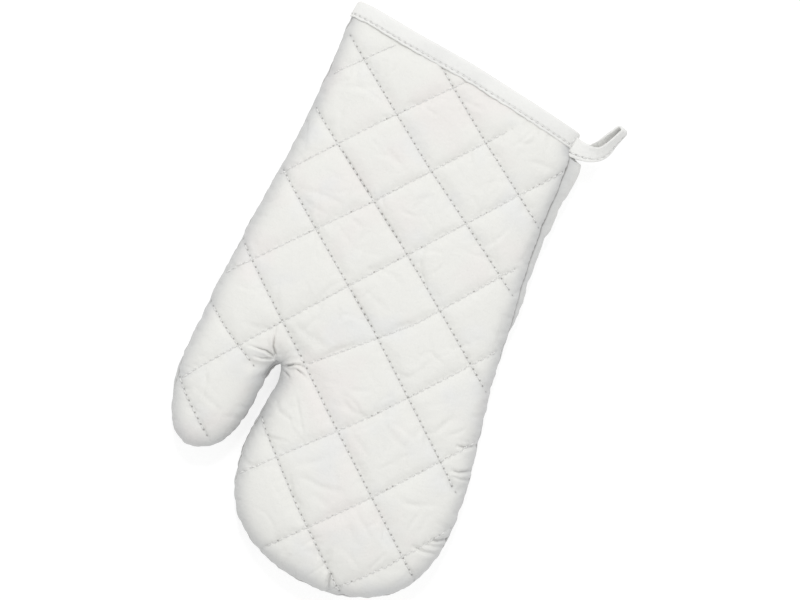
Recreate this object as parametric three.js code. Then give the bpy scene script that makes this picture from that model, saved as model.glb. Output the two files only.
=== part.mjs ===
// A quilted cotton oven mitt, empty and lying on its palm. Millimetres, +Z up.
// +Y runs from the cuff to the fingertips and +X points to the thumb.
// Two padded panels meet at the side seam, a folded tape binds the open cuff, and its tail makes the loop.

import * as THREE from "three";

// Outline sizes, seen from above
const gloveLength = 300; // cuff edge to the tip of the hand
const cuffWidth = 149; // the panels across the open cuff
const cuffShift = -0.6; // middle of the cuff, towards the thumb
const forkHeight = 198; // cuff edge to the fork between thumb and hand
const forkOffset = 9.2; // the fork, towards the thumb from the middle of the cuff
const thumbWidth = 55; // the fork to the outer side of the thumb
const thumbLength = 66; // the fork to the tip of the thumb
const handWidth = 132; // the fork to the far side of the hand
const seamRoll = 7.4; // the palm panel shows this much outside the side seam near the cuff
const rollRise = 0.7; // share of the rolled strip's width that the seam rises beside it
const cuffBow = 5; // the open edge bows out by about this much
const bowReach = 60; // the bow runs out this far up the wrist

// Heights and thicknesses
const seamHeight = 9; // the widest level of the resting mitt
const seamLift = 2; // the seam lies this much above the widest level
const crown = 19; // rise of the back above the seam
const domeReach = 45; // the back is level this far in from the seam
const soleReach = 10; // the palm turns up over this width at its edge
const wallThickness = 4.2; // padded wall at the middle of a diamond
const quiltDepth = 1.3; // how far a stitched line pulls the wall in
const seamAllowance = 4; // the two panels lie on each other this far in
const edgeDip = 1.1; // how far a stitched line pulls the edge in
const clearance = 0.3; // gap between pieces that touch
const gatherDepth = 1.6; // depth of the folds that fan out from the fork
const foldDepth = 1.4; // depth of the loose folds on the back
const foldWidth = 3.5; // half width of a fold

// Quilting, two families of parallel stitched lines
const pitchA = 37.8;
const angleA = 57.8; // degrees from +X to the direction across the lines
const startA = 0.838; // line number at the middle of the cuff
const pitchB = 37.2;
const angleB = 146.6;
const startB = 1.9;
const soleShift = 0.45; // the palm panel's lines lie this share of a pitch further on
const soleFlat = 0.25; // share of a pitch over which a diamond of the palm rises from its rest
const lineReach = 0.1; // share of a pitch that a stitched line reaches past its table row

// Cuff binding and hanging loop
const bindingWidth = 10.5;
const bindingTape = 0.8;
const bindingClearance = 0.4;
const bindingRound = 0.35; // the folded edge is rounded by this share of the tape
const loopWidth = 9.6;
const loopTape = 1.5; // the folded tape's thickness
const loopReach = 31;
const loopEye = 3.9; // half the widest distance between its two strands
const loopRootLevel = 10.5; // height of the root above the rest

// Mesh steps
const stationStep = 7.5; // longest step along the outline
const stationTurn = 15; // most degrees that the outline turns in a step
const rollStep = 2.5; // most that the rolled strip widens in a step
const curveSteps = 1500;
const evenPasses = 3; // evens out the directions in from the stations
const settlePasses = 5; // finds a place on the uneven sewn grid
const gridStep = 0.25; // share of a pitch between the vertices of a panel
const gridRoom = 0.55; // share of that step that two of its vertices stay apart
const foldStep = 8; // step along a fold
const foldSide = 4.5; // vertices this far on each side of a fold
const backShares = [0.18, 0.5, 1]; // rings of the back, as shares of the way in
const liningShares = [0.3, 1];
const turnAngles = [28, 55, 90]; // rings round the palm's edge, in degrees
const hollowAngles = [35, 90];
const loopSteps = 12;
const turnSteps = 6;

// Outline from the thumb's side of the cuff round to the far side.
// Cuff and wrist rows are shares of half the cuff's width, and of the binding's width or the fork's height.
// Thumb and hand rows are shares of that part's width and length, from the fork.
const outlineRows = [
  { part: "cuff", across: 1.0, along: 1.056 },
  { part: "wrist", across: 0.957, along: 0.15 },
  { part: "wrist", across: 0.9, along: 0.4 },
  { part: "wrist", across: 0.886, along: 0.7 },
  { part: "thumb", across: 0.998, along: -0.27 },
  { part: "thumb", across: 0.96, along: 0.09 },
  { part: "thumb", across: 0.925, along: 0.45 },
  { part: "thumb", across: 0.82, along: 0.71 },
  { part: "thumb", across: 0.66, along: 0.92 },
  { part: "thumb", across: 0.46, along: 1.0 },
  { part: "thumb", across: 0.24, along: 0.93 },
  { part: "thumb", across: 0.1, along: 0.77 },
  { part: "thumb", across: 0.042, along: 0.5 },
  { part: "thumb", across: 0.055, along: 0.16 },
  { part: "thumb", across: 0.03, along: 0.03 },
  { part: "thumb", across: 0.0, along: 0.0 },
  { part: "hand", across: 0.021, along: 0.06 },
  { part: "hand", across: 0.02, along: 0.3 },
  { part: "hand", across: 0.03, along: 0.5 },
  { part: "hand", across: 0.075, along: 0.7 },
  { part: "hand", across: 0.17, along: 0.86 },
  { part: "hand", across: 0.31, along: 0.962 },
  { part: "hand", across: 0.51, along: 1.0 },
  { part: "hand", across: 0.72, along: 0.966 },
  { part: "hand", across: 0.86, along: 0.865 },
  { part: "hand", across: 0.968, along: 0.7 },
  { part: "hand", across: 1.006, along: 0.43 },
  { part: "hand", across: 0.966, along: 0.07 },
  { part: "wrist", across: -1.4, along: 0.8 },
  { part: "wrist", across: -1.268, along: 0.59 },
  { part: "wrist", across: -1.138, along: 0.38 },
  { part: "wrist", across: -1.062, along: 0.19 },
  { part: "cuff", across: -1.025, along: 1.51 },
  { part: "cuff", across: -1.0, along: 1.056 },
];

// How far the open edge bows out, from the far side to the thumb's side, as shares of cuffBow
const bowRows = [
  { across: -1.0, bow: 0.25 },
  { across: -0.5, bow: 0.65 },
  { across: 0.0, bow: 1.0 },
  { across: 0.5, bow: 0.95 },
  { across: 0.85, bow: 1.08 },
  { across: 1.0, bow: 1.0 },
];

// Height of the back along the mitt, as a share of the crown
const riseRows = [
  { along: 0.04, rise: 0.82 },
  { along: 0.3, rise: 0.92 },
  { along: 0.65, rise: 1.0 },
  { along: 1.0, rise: 0.9 },
];

// Width of the rolled strip on the far side, as a share of seamRoll.
// Along is a share of the way from the binding's edge to the height of the fork.
const rollRows = [
  { along: 0.004, width: 0.04 },
  { along: 0.023, width: 1.0 },
  { along: 0.24, width: 0.72 },
  { along: 0.271, width: 0.5 },
  { along: 0.472, width: 0.5 },
  { along: 0.578, width: 0.04 },
];

// Stitched lines of the back. From and to are places along the line, in pitches.
// Start, middle and end say how far the line strays from the even grid, as shares of the pitch.
const quiltRows = [
  { family: "A", line: 1, from: -0.4, to: 2.6, start: 0.16, middle: 0.1, end: -0.02 },
  { family: "A", line: 2, from: -1.3, to: 3.3, start: 0.15, middle: 0.03, end: -0.19 },
  { family: "A", line: 3, from: -0.7, to: 4.4, start: 0.13, middle: -0.06, end: -0.16 },
  { family: "A", line: 4, from: 0.0, to: 5.5, start: -0.01, middle: -0.09, end: -0.04 },
  { family: "A", line: 5, from: 0.6, to: 6.4, start: 0.03, middle: 0.1, end: 0.14 },
  { family: "A", line: 6, from: 1.2, to: 2.4, start: -0.1, middle: -0.15, end: -0.25, thumb: true },
  { family: "A", line: 6, from: 2.9, to: 6.2, start: 0.02, middle: 0.18, end: 0.25, hand: true },
  { family: "A", line: 7, from: 1.8, to: 3.0, start: -0.16, middle: -0.12, end: -0.12, thumb: true },
  { family: "B", line: 1, from: -1.9, to: -0.6, start: 0.0, middle: 0.03, end: 0.07 },
  { family: "B", line: 2, from: -3.3, to: 0.0, start: 0.0, middle: 0.0, end: 0.05 },
  { family: "B", line: 3, from: -4.7, to: 0.2, start: -0.03, middle: 0.04, end: 0.01 },
  { family: "B", line: 4, from: -6.1, to: 0.7, start: 0.1, middle: 0.01, end: -0.05 },
  { family: "B", line: 5, from: -4.25, to: -0.7, start: -0.21, middle: 0.0, end: -0.06 },
  { family: "B", line: 6, from: -6.0, to: -1.4, start: -0.2, middle: -0.05, end: -0.05 },
  { family: "B", line: 7, from: -6.1, to: -2.4, start: 0.0, middle: 0.06, end: 0.04 },
  { family: "B", line: 8, from: -5.5, to: -3.4, start: 0.06, middle: 0.11, end: 0.05 },
];

// Folds that fan out from the fork: direction in degrees from +X, length as a share of thumbWidth
const gatherRows = [
  { direction: 12, length: 0.42, depth: 0.8 },
  { direction: -14, length: 0.5, depth: 1.0 },
  { direction: -72, length: 0.4, depth: 1.0 },
  { direction: 200, length: 0.3, depth: 0.7 },
  { direction: 172, length: 0.4, depth: 0.7 },
];

// Loose folds of the back, as shares of handWidth from the fork and of gloveLength from the cuff
const foldRows = [
  { across: 0.64, along: 0.79, toAcross: 0.76, toAlong: 0.67, depth: -1.0 },
  { across: 0.3, along: 0.72, toAcross: 0.48, toAlong: 0.7, depth: 0.9 },
  { across: 0.16, along: 0.3, toAcross: 0.36, toAlong: 0.27, depth: 0.7 },
  { across: 0.42, along: 0.9, toAcross: 0.62, toAlong: 0.86, depth: 0.7 },
  { across: 0.66, along: 0.39, toAcross: 0.62, toAlong: 0.46, depth: 0.8 },
];

// Spine of the hanging loop as shares of loopReach: out from the cuff's side, back past its edge, up.
// Twist turns the tape about the spine, in degrees. Eye is the strands' distance, as a share of the widest.
const loopRows = [
  { out: 0.0, back: 0.0, up: 0.0, twist: 0, eye: 0.38 },
  { out: 0.11, back: 0.0, up: 0.0, twist: 0, eye: 0.9 },
  { out: 0.26, back: 0.03, up: 0.02, twist: 3, eye: 1.0 },
  { out: 0.44, back: 0.15, up: 0.06, twist: 36, eye: 0.9 },
  { out: 0.56, back: 0.36, up: 0.1, twist: 72, eye: 0.58 },
  { out: 0.53, back: 0.56, up: 0.13, twist: 84, eye: 0.45 },
];

const degree = Math.PI / 180;
const handLength = gloveLength - forkHeight;
const cuffStart = bindingTape + bindingClearance;
const seamLevel = seamHeight + seamLift;

const mix = (a, b, t) => a + (b - a) * t;
const clamp = (value, low, high) => Math.min(Math.max(value, low), high);
const smooth = (low, high, value) => {
  const t = clamp((value - low) / (high - low), 0, 1);
  return t * t * (3 - 2 * t);
};
const quarterRound = (t) => Math.sqrt(1 - (1 - clamp(t, 0, 1)) ** 2);

// Reads a column of a table at a place between its rows
function readTable(rows, key, at, column) {
  const next = rows.findIndex((row) => row[key] > at);
  if (next === 0) return rows[0][column];
  if (next < 0) return rows[rows.length - 1][column];
  const [low, high] = [rows[next - 1], rows[next]];
  return mix(low[column], high[column], (at - low[key]) / (high[key] - low[key]));
}

const bowAt = (x) => cuffBow * readTable(bowRows, "across", (2 * (x - cuffShift)) / cuffWidth, "bow");

// Outline of the side seam

function outlinePoint({ part, across, along }) {
  if (part === "wrist" || part === "cuff") {
    const height = part === "cuff" ? bindingWidth : forkHeight;
    return new THREE.Vector3(cuffShift + (across * cuffWidth) / 2, along * height, 0);
  }
  const width = part === "thumb" ? thumbWidth : -handWidth;
  const length = part === "thumb" ? thumbLength : handLength;
  return new THREE.Vector3(forkOffset + across * width, forkHeight + along * length, 0);
}

const outlineCurve = new THREE.CatmullRomCurve3(outlineRows.map(outlinePoint), false, "centripetal");

const onFarSide = (point) => point.x < cuffShift - cuffWidth / 3 && point.y < forkHeight;
const rollAt = (point) => {
  const place = onFarSide(point) ? (point.y - bindingWidth) / (forkHeight - bindingWidth) : 0;
  return seamRoll * readTable(rollRows, "along", place, "width");
};

// Stations along the outline, closer where it turns or where the roll changes.
// Each has its point and the direction into the mitt.
function outlineStations() {
  const points = outlineCurve.getPoints(curveSteps);
  const headings = points.map((point, i) => {
    const ahead = points[Math.min(i + 1, curveSteps)];
    const behind = points[Math.max(i - 1, 0)];
    return Math.atan2(ahead.y - behind.y, ahead.x - behind.x);
  });
  const weights = [0];
  for (let i = 1; i <= curveSteps; i++) {
    const turn = Math.abs(Math.sin(headings[i] - headings[i - 1])) / (stationTurn * degree);
    const widening = Math.abs(rollAt(points[i]) - rollAt(points[i - 1])) / rollStep;
    weights.push(weights[i - 1] + points[i].distanceTo(points[i - 1]) / stationStep + turn + widening);
  }
  const count = Math.round(weights[curveSteps]);
  const stations = [];
  for (let k = 0; k <= count; k++) {
    const wanted = (weights[curveSteps] * k) / count;
    const i = Math.max(weights.findIndex((weight) => weight >= wanted), 0);
    const inward = new THREE.Vector3(-Math.sin(headings[i]), Math.cos(headings[i]), 0);
    stations.push({ point: points[i], inward });
  }
  for (let pass = 0; pass < evenPasses; pass++) {
    const before = stations.map(({ inward }) => inward.clone());
    for (let k = 1; k < count; k++) {
      stations[k].inward.multiplyScalar(2).add(before[k - 1]).add(before[k + 1]).normalize();
    }
  }
  const ends = [stations[0], stations[count]];
  ends.forEach((end, i) => end.inward.set(i ? 1 : -1, 0, 0));
  const cuffEnds = ends.map(({ point, inward }) => ({
    point: new THREE.Vector3(point.x, cuffStart, 0),
    inward,
  }));
  return [cuffEnds[0], ...stations, cuffEnds[1]];
}

// Quilting

const families = {
  A: { pitch: pitchA, start: startA, across: [Math.cos(angleA * degree), Math.sin(angleA * degree)] },
  B: { pitch: pitchB, start: startB, across: [Math.cos(angleB * degree), Math.sin(angleB * degree)] },
};

// Number across a family's lines, and place along them in pitches
function quiltPlace(family, x, y) {
  const { pitch, start, across } = families[family];
  return {
    number: start + (x * across[0] + y * across[1]) / pitch,
    along: (-x * across[1] + y * across[0]) / pitch,
  };
}

function quiltRow(family, line, x) {
  const inThumb = x > forkOffset;
  return quiltRows.find(
    (row) =>
      row.family === family && row.line === line && !(row.thumb && !inThumb) && !(row.hand && inThumb)
  );
}

function strayOf(row, along) {
  if (!row) return 0;
  const t = clamp((along - row.from) / (row.to - row.from), 0, 1);
  return t < 0.5 ? mix(row.start, row.middle, 2 * t) : mix(row.middle, row.end, 2 * t - 1);
}

// How far the sewn grid strays from the even one at a line number between two lines
function stray(family, number, along, x) {
  const line = Math.floor(number);
  const low = quiltRow(family, line, x);
  const high = quiltRow(family, line + 1, x);
  return mix(strayOf(low ?? high, along), strayOf(high ?? low, along), number - line);
}

// 0 on a stitched line and 1 in the middle between two, for one family on the back
function puffAcross(family, x, y) {
  const { number, along } = quiltPlace(family, x, y);
  let sewn = number;
  for (let pass = 0; pass < settlePasses; pass++) {
    sewn = number - stray(family, sewn, along, x);
  }
  const row = quiltRow(family, Math.round(sewn), x);
  if (!row || along < row.from - lineReach || along > row.to + lineReach) return 1;
  const q = Math.min(2 * Math.abs(sewn - Math.round(sewn)), 1);
  return 1 - (1 - q) ** 2;
}

const backPuff = (x, y) => puffAcross("A", x, y) * puffAcross("B", x, y);

function solePuff(x, y) {
  const share = (family) => {
    const number = quiltPlace(family, x, y).number + soleShift;
    const q = Math.min(Math.abs(number - Math.round(number)) / soleFlat, 1);
    return 1 - (1 - q) ** 2;
  };
  return share("A") * share("B");
}

// Where two sewn lines, or the places between them, cross on the back
function quiltCrossing(numberA, numberB, shift, strays) {
  const [a, b] = [families.A, families.B];
  const det = a.across[0] * b.across[1] - a.across[1] * b.across[0];
  let [x, y] = [0, 0];
  for (let pass = 0; pass < settlePasses; pass++) {
    const strayA = strays ? stray("A", numberA, quiltPlace("A", x, y).along, x) : 0;
    const strayB = strays ? stray("B", numberB, quiltPlace("B", x, y).along, x) : 0;
    const across = (numberA + strayA - shift - a.start) * a.pitch;
    const up = (numberB + strayB - shift - b.start) * b.pitch;
    x = (across * b.across[1] - up * a.across[1]) / det;
    y = (up * a.across[0] - across * b.across[0]) / det;
  }
  return new THREE.Vector3(x, y, 0);
}

// Folds

const fork = new THREE.Vector3(forkOffset, forkHeight, 0);
const gathers = gatherRows.map(({ direction, length, depth }) => {
  const way = new THREE.Vector3(Math.cos(direction * degree), Math.sin(direction * degree), 0);
  const to = fork.clone().addScaledVector(way, length * thumbWidth);
  return { from: fork, to, depth: depth * gatherDepth };
});
const folds = foldRows.map(({ across, along, toAcross, toAlong, depth }) => ({
  from: new THREE.Vector3(forkOffset - across * handWidth, along * gloveLength, 0),
  to: new THREE.Vector3(forkOffset - toAcross * handWidth, toAlong * gloveLength, 0),
  depth: depth * foldDepth,
}));

// Depth of the folds at a point: deepest along each fold's line, and running out at its ends
function foldsAt(x, y) {
  const point = new THREE.Vector3(x, y, 0);
  let depth = 0;
  for (const fold of [...gathers, ...folds]) {
    const line = new THREE.Line3(fold.from, fold.to);
    const t = line.closestPointToPointParameter(point, true);
    const away = line.at(t, new THREE.Vector3()).distanceTo(point) / foldWidth;
    const runOut = fold.from === fork ? smooth(1, 0.2, t) : 1 - (2 * t - 1) ** 4;
    depth += fold.depth * runOut * Math.exp(-away * away);
  }
  return depth;
}

// Heights

const stations = outlineStations();

// Distance in from the seam, rounded off where two edges are near, with the cuff left open
const pastCuff = gloveLength / 4;
const seamLine = [
  new THREE.Vector3(stations[0].point.x, -pastCuff, 0),
  ...stations.map((station) => station.point),
  new THREE.Vector3(stations[stations.length - 1].point.x, -pastCuff, 0),
];
function depthInside(x, y) {
  let sum = 0;
  for (let i = 1; i < seamLine.length; i++) {
    const [a, b] = [seamLine[i - 1], seamLine[i]];
    const length = a.distanceTo(b);
    const [ux, uy] = [(b.x - a.x) / length, (b.y - a.y) / length];
    const ahead = (x - a.x) * ux + (y - a.y) * uy;
    const apart = Math.max(Math.abs((x - a.x) * uy - (y - a.y) * ux), 1e-3);
    const reach = (s) => s / (apart * apart * Math.hypot(apart, s));
    sum += reach(ahead) - reach(ahead - length);
  }
  return Math.sqrt(2 / sum);
}

const riseAt = (y) => crown * readTable(riseRows, "along", y / gloveLength, "rise");
const pastBinding = (y) => smooth(bindingWidth + bindingClearance, bindingWidth * 2, y);

// Outer and inner face of the back panel, and of the palm panel, at a depth inside the seam
function backOuter(x, y, inside) {
  const padded = backPuff(x, y) * pastBinding(y);
  const relief = quiltDepth * (1 - padded) + foldsAt(x, y);
  return seamLevel + riseAt(y) * quarterRound(inside / domeReach) - relief * smooth(0, soleReach, inside);
}
function backInner(x, y, inside) {
  const reach = (inside - seamAllowance) / (domeReach - seamAllowance);
  return seamLevel + clearance / 2 + (riseAt(y) - wallThickness) * quarterRound(reach);
}
const palmOuter = (x, y) => quiltDepth * (1 - solePuff(x, y) * pastBinding(y));
const palmInner = () => wallThickness;

// Shell builder: vertices and triangles of one closed body

class Shell {
  positions = [];
  triangles = [];

  point(x, y, z) {
    this.positions.push(x, y, z);
    return this.positions.length / 3 - 1;
  }

  at(index) {
    return new THREE.Vector3().fromArray(this.positions, index * 3);
  }

  triangle(a, b, c, up = true) {
    if (a === b || b === c || c === a) return;
    this.triangles.push(a, up ? b : c, up ? c : b);
  }

  // A band of quads between two rows of as many vertices
  band(first, second, up) {
    for (let i = 1; i < first.length; i++) {
      this.triangle(first[i - 1], first[i], second[i], up);
      this.triangle(first[i - 1], second[i], second[i - 1], up);
    }
  }

  // A band between two rows of any number of vertices, paired by their share of the length
  zip(first, second) {
    const shares = (row) => {
      const places = row.map((index) => this.at(index));
      const sums = [0];
      places.slice(1).forEach((place, i) => sums.push(sums[i] + place.distanceTo(places[i])));
      return sums.map((sum) => sum / sums[sums.length - 1]);
    };
    const [a, b] = [shares(first), shares(second)];
    let [i, j] = [0, 0];
    while (i < first.length - 1 || j < second.length - 1) {
      if (j === second.length - 1 || (i < first.length - 1 && a[i + 1] <= b[j + 1])) {
        this.triangle(first[i], first[i + 1], second[j]);
        i++;
      } else {
        this.triangle(first[i], second[j + 1], second[j]);
        j++;
      }
    }
  }

  // Bows the cuff's end of the body out by the table, and leaves the rest
  bowCuff() {
    for (let i = 0; i < this.positions.length; i += 3) {
      const [x, y] = [this.positions[i], this.positions[i + 1]];
      this.positions[i + 1] = y - bowAt(x) * (1 - smooth(bindingWidth, bowReach, y));
    }
  }

  mesh(name, color, roughness) {
    const geometry = new THREE.BufferGeometry();
    geometry.setAttribute("position", new THREE.Float32BufferAttribute(this.positions, 3));
    geometry.setIndex(this.triangles);
    geometry.computeVertexNormals();
    const mesh = new THREE.Mesh(geometry, new THREE.MeshStandardMaterial({ color, roughness, metalness: 0 }));
    mesh.name = name;
    return mesh;
  }
}

// Triangles over scattered points, each with no other point in its circle
function triangulate(points) {
  const far = gloveLength * 50;
  const count = points.length;
  const frame = [[-far, -far], [far, -far], [0, far]].map(([x, y]) => new THREE.Vector3(x, y, 0));
  const all = [...points, ...frame];
  const withCircle = (a, b, c) => {
    const [p, q, r] = [all[a], all[b], all[c]];
    const d = 2 * (p.x * (q.y - r.y) + q.x * (r.y - p.y) + r.x * (p.y - q.y));
    const [pp, qq, rr] = [p, q, r].map((v) => v.x * v.x + v.y * v.y);
    const x = (pp * (q.y - r.y) + qq * (r.y - p.y) + rr * (p.y - q.y)) / d;
    const y = (pp * (r.x - q.x) + qq * (p.x - r.x) + rr * (q.x - p.x)) / d;
    return { corners: [a, b, c], x, y, radius: Math.hypot(p.x - x, p.y - y) };
  };
  let triangles = [withCircle(count, count + 1, count + 2)];
  points.forEach((point, index) => {
    const rim = new Map();
    triangles = triangles.filter(({ corners, x, y, radius }) => {
      if (Math.hypot(point.x - x, point.y - y) > radius) return true;
      corners.forEach((from, k) => {
        const to = corners[(k + 1) % 3];
        if (!rim.delete(`${to} ${from}`)) rim.set(`${from} ${to}`, [from, to]);
      });
      return false;
    });
    for (const [from, to] of rim.values()) triangles.push(withCircle(from, to, index));
  });
  const kept = triangles.filter(({ corners }) => corners.every((corner) => corner < count));
  return kept.map(({ corners }) => corners);
}

function isInside(x, y, polygon) {
  let inside = false;
  polygon.forEach((b, i) => {
    const a = polygon[(i + polygon.length - 1) % polygon.length];
    if (a.y > y !== b.y > y && x < a.x + ((b.x - a.x) * (y - a.y)) / (b.y - a.y)) inside = !inside;
  });
  return inside;
}

function distanceTo(polygon, point) {
  return Math.min(
    ...polygon.map((b, i) => {
      const a = polygon[(i + polygon.length - 1) % polygon.length];
      return new THREE.Line3(a, b).closestPointToPoint(point, true, new THREE.Vector3()).distanceTo(point);
    })
  );
}

// Panels

// A ring follows the seam at each station. It gives the offset inwards and the height there.
function ringVertices(shell, ring) {
  return stations.map(({ point, inward }, i) => {
    const sewn = (1 - backPuff(point.x, point.y)) * pastBinding(point.y);
    const { offset, height } = ring(stations[i], sewn);
    const place = point.clone().addScaledVector(inward, offset + edgeDip * sewn);
    return shell.point(place.x, place.y, height(place));
  });
}

// Vertices between the innermost ring and the cuff: sewn crossings, quarter steps and fold lines
function innerPoints(polygon, quilt) {
  const step = gridStep * pitchA;
  const reach = Math.ceil((2 * gloveLength) / (pitchA * gridStep));
  const points = [];
  const add = (point, room) => {
    if (point.y < bindingWidth + step / 2 || !isInside(point.x, point.y, polygon)) return;
    if (distanceTo(polygon, point) < step / 2) return;
    if (points.some((other) => other.distanceTo(point) < room)) return;
    points.push(point);
  };
  if (quilt.folded) {
    for (const fold of [...gathers, ...folds]) {
      const length = fold.from.distanceTo(fold.to);
      const way = fold.to.clone().sub(fold.from).divideScalar(length);
      const aside = new THREE.Vector3(-way.y, way.x, 0);
      const steps = Math.round(length / foldStep);
      for (let k = 0; k <= steps; k++) {
        for (const side of [0, -1, 1]) {
          const place = fold.from.clone().addScaledVector(way, (length * k) / steps);
          add(place.addScaledVector(aside, side * foldSide), foldWidth / 2);
        }
      }
    }
  }
  for (let i = -reach; i <= reach; i++) {
    for (let j = -reach; j <= reach; j++) {
      add(quiltCrossing(i * gridStep, j * gridStep, quilt.shift, quilt.strays), step * gridRoom);
    }
  }
  return points;
}

// One face of a panel: rings from the seam inwards, then the field between them.
// Returns its vertices along the seam and along the cuff.
function addFace(shell, seamRing, rings, heightOf, quilt, up) {
  const rows = [seamRing, ...rings.map((ring) => ringVertices(shell, ring))].filter(Boolean);
  for (let k = 1; k < rows.length; k++) shell.band(rows[k - 1], rows[k], up);
  const rim = rows[rows.length - 1];
  const first = shell.at(rim[0]);
  const last = shell.at(rim[rim.length - 1]);
  const cuffSteps = Math.round((first.x - last.x) / (gridStep * pitchA));
  const cuffPoints = [];
  const secondRow = [];
  for (let k = 1; k <= cuffSteps; k++) {
    const x = mix(first.x, last.x, k / cuffSteps);
    if (k < cuffSteps) cuffPoints.push(new THREE.Vector3(x, cuffStart, 0));
    secondRow.push(new THREE.Vector3(x + (first.x - last.x) / cuffSteps / 2, bindingWidth, 0));
  }
  const flat = ({ x, y }) => new THREE.Vector3(x, y, 0);
  const polygon = [...rim.map((index) => flat(shell.at(index))), ...[...cuffPoints].reverse()];
  const field = [...secondRow, ...innerPoints(polygon, quilt)];
  const lift = ({ x, y }) => shell.point(x, y, heightOf(x, y, depthInside(x, y)));
  const cuffVertices = cuffPoints.map(lift);
  const vertices = [...rim, ...[...cuffVertices].reverse(), ...field.map(lift)];
  const places = [...polygon, ...field];
  for (const [a, b, c] of triangulate(places)) {
    const x = (places[a].x + places[b].x + places[c].x) / 3;
    const y = (places[a].y + places[b].y + places[c].y) / 3;
    if (isInside(x, y, polygon)) shell.triangle(vertices[a], vertices[b], vertices[c], up);
  }
  const starts = rows.map((row) => row[0]);
  const ends = rows.map((row) => row[row.length - 1]).reverse();
  return { seam: rows[0], cuff: [...starts, ...cuffVertices, ...ends] };
}

// The seam rises where the palm panel is rolled to the front
const liftAt = (point) => (rollAt(point) - seamRoll * rollRows[0].width) * rollRise;
const seamRing = (side) => ({ point }) => ({
  offset: 0,
  height: () => seamLevel + liftAt(point) + (side * clearance) / 2,
});
const allowanceRing = (side) => ({ point }) => ({
  offset: seamAllowance,
  height: () => seamLevel + liftAt(point) + (side * clearance) / 2,
});

// A ring on the back, whose share of the lift runs out towards the field
const backRing = (offset, lastOffset, face) => ({ point }) => ({
  offset,
  height: ({ x, y }) => face(x, y, depthInside(x, y)) + liftAt(point) * (1 - offset / lastOffset) ** 2,
});

// A ring on the turn of the palm: first over the rolled strip, then under it to the rest
const rollRing = (angle) => ({ point }) => ({
  offset: -rollAt(point) * Math.cos(angle * degree),
  height: () => seamHeight + (seamLift + liftAt(point)) * Math.sin(angle * degree),
});
const turnRing = (angle) => ({ point }) => ({
  offset: soleReach - (soleReach + rollAt(point)) * Math.cos(angle * degree),
  height: ({ x, y }) => mix(seamHeight, palmOuter(x, y), Math.sin(angle * degree)),
});
const hollowRing = (angle) => ({ point }) => ({
  offset: mix(seamAllowance, soleReach, 1 - Math.cos(angle * degree)),
  height: () => mix(seamLevel + liftAt(point) - clearance / 2, palmInner(), Math.sin(angle * degree)),
});

const backRings = backShares.map((share) => backRing(soleReach * share, soleReach, backOuter));
const liningRings = liningShares.map((share) =>
  backRing(mix(seamAllowance, soleReach, share), soleReach, backInner)
);

function makeBackPanel() {
  const shell = new Shell();
  const quilt = { shift: 0, strays: true, folded: true };
  const lining = { shift: 0, strays: false, folded: false };
  const outer = addFace(shell, null, [seamRing(1), ...backRings], backOuter, quilt, true);
  const inner = addFace(shell, outer.seam, [allowanceRing(1), ...liningRings], backInner, lining, false);
  shell.zip(outer.cuff, inner.cuff);
  return { shell, outer: outer.cuff, inner: inner.cuff };
}

function makePalmPanel() {
  const shell = new Shell();
  const quilt = { shift: soleShift, strays: false, folded: false };
  const turn = [seamRing(-1), rollRing(45), rollRing(0), ...turnAngles.map(turnRing)];
  const outer = addFace(shell, null, turn, palmOuter, quilt, false);
  const hollow = [allowanceRing(-1), ...hollowAngles.map(hollowRing)];
  const inner = addFace(shell, outer.seam, hollow, palmInner, quilt, true);
  shell.zip(inner.cuff, outer.cuff);
  return { shell, outer: outer.cuff, inner: inner.cuff };
}

// Cuff binding: a folded tape round both cut edges, made from the panels' own cuff lines

// A closed loop across the cuff, over the back panel's line and back along the palm's
// The inner lines begin at the seam's outer edge, which is left out
function cuffLoop(back, palm, face) {
  const ends = face === "inner" ? 1 : 0;
  const line = ({ shell, [face]: row }) => row.slice(ends, row.length - ends).map((index) => shell.at(index));
  const over = line(back);
  const under = line(palm).reverse();
  const middle = [over[0], over[over.length - 1]];
  middle.forEach((point) => (point.z = seamLevel));
  return [...over, ...under.slice(1, -1)];
}

// Moves each point of a closed loop out along its own normal
function offsetLoop(loop, distance) {
  return loop.map((point, i) => {
    const before = loop[(i + loop.length - 1) % loop.length];
    const after = loop[(i + 1) % loop.length];
    const normals = [point.clone().sub(before), after.clone().sub(point)].map((way) =>
      new THREE.Vector3(way.z, 0, -way.x).normalize()
    );
    const normal = normals[0].clone().add(normals[1]).normalize();
    return point.clone().addScaledVector(normal, distance / Math.max(normal.dot(normals[0]), 1 / 2));
  });
}

function makeCuffBinding(back, palm) {
  const shell = new Shell();
  const outer = cuffLoop(back, palm, "outer");
  const inner = cuffLoop(back, palm, "inner");
  const near = bindingClearance;
  const far = near + bindingTape;
  const fold = bindingTape * bindingRound;
  const side = (loop, sign) => [
    [offsetLoop(loop, sign * near), bindingWidth],
    [offsetLoop(loop, sign * far), bindingWidth],
    [offsetLoop(loop, sign * far), 2 * bindingTape],
    [offsetLoop(loop, sign * (near + fold)), fold / 2],
  ];
  const crest = [[outer, 0], [inner, 0]];
  const slot = [[offsetLoop(inner, -near), bindingTape], [offsetLoop(outer, near), bindingTape]];
  const rows = [side(outer, 1), [crest[0]], [crest[1]], side(inner, -1).reverse(), slot].flat();
  const vertices = rows.map(([loop, y]) => loop.map(({ x, z }) => shell.point(x, y, z)));
  const starts = vertices.map((row) => [...row, row[0]]);
  starts.forEach((row, k) => {
    const next = starts[(k + 1) % starts.length];
    if (row.length === next.length) shell.band(row, next, true);
    else shell.zip(row, next);
  });
  return shell;
}

// Hanging loop: a flat ring of folded tape that leaves the far corner of the cuff and twists

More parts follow.
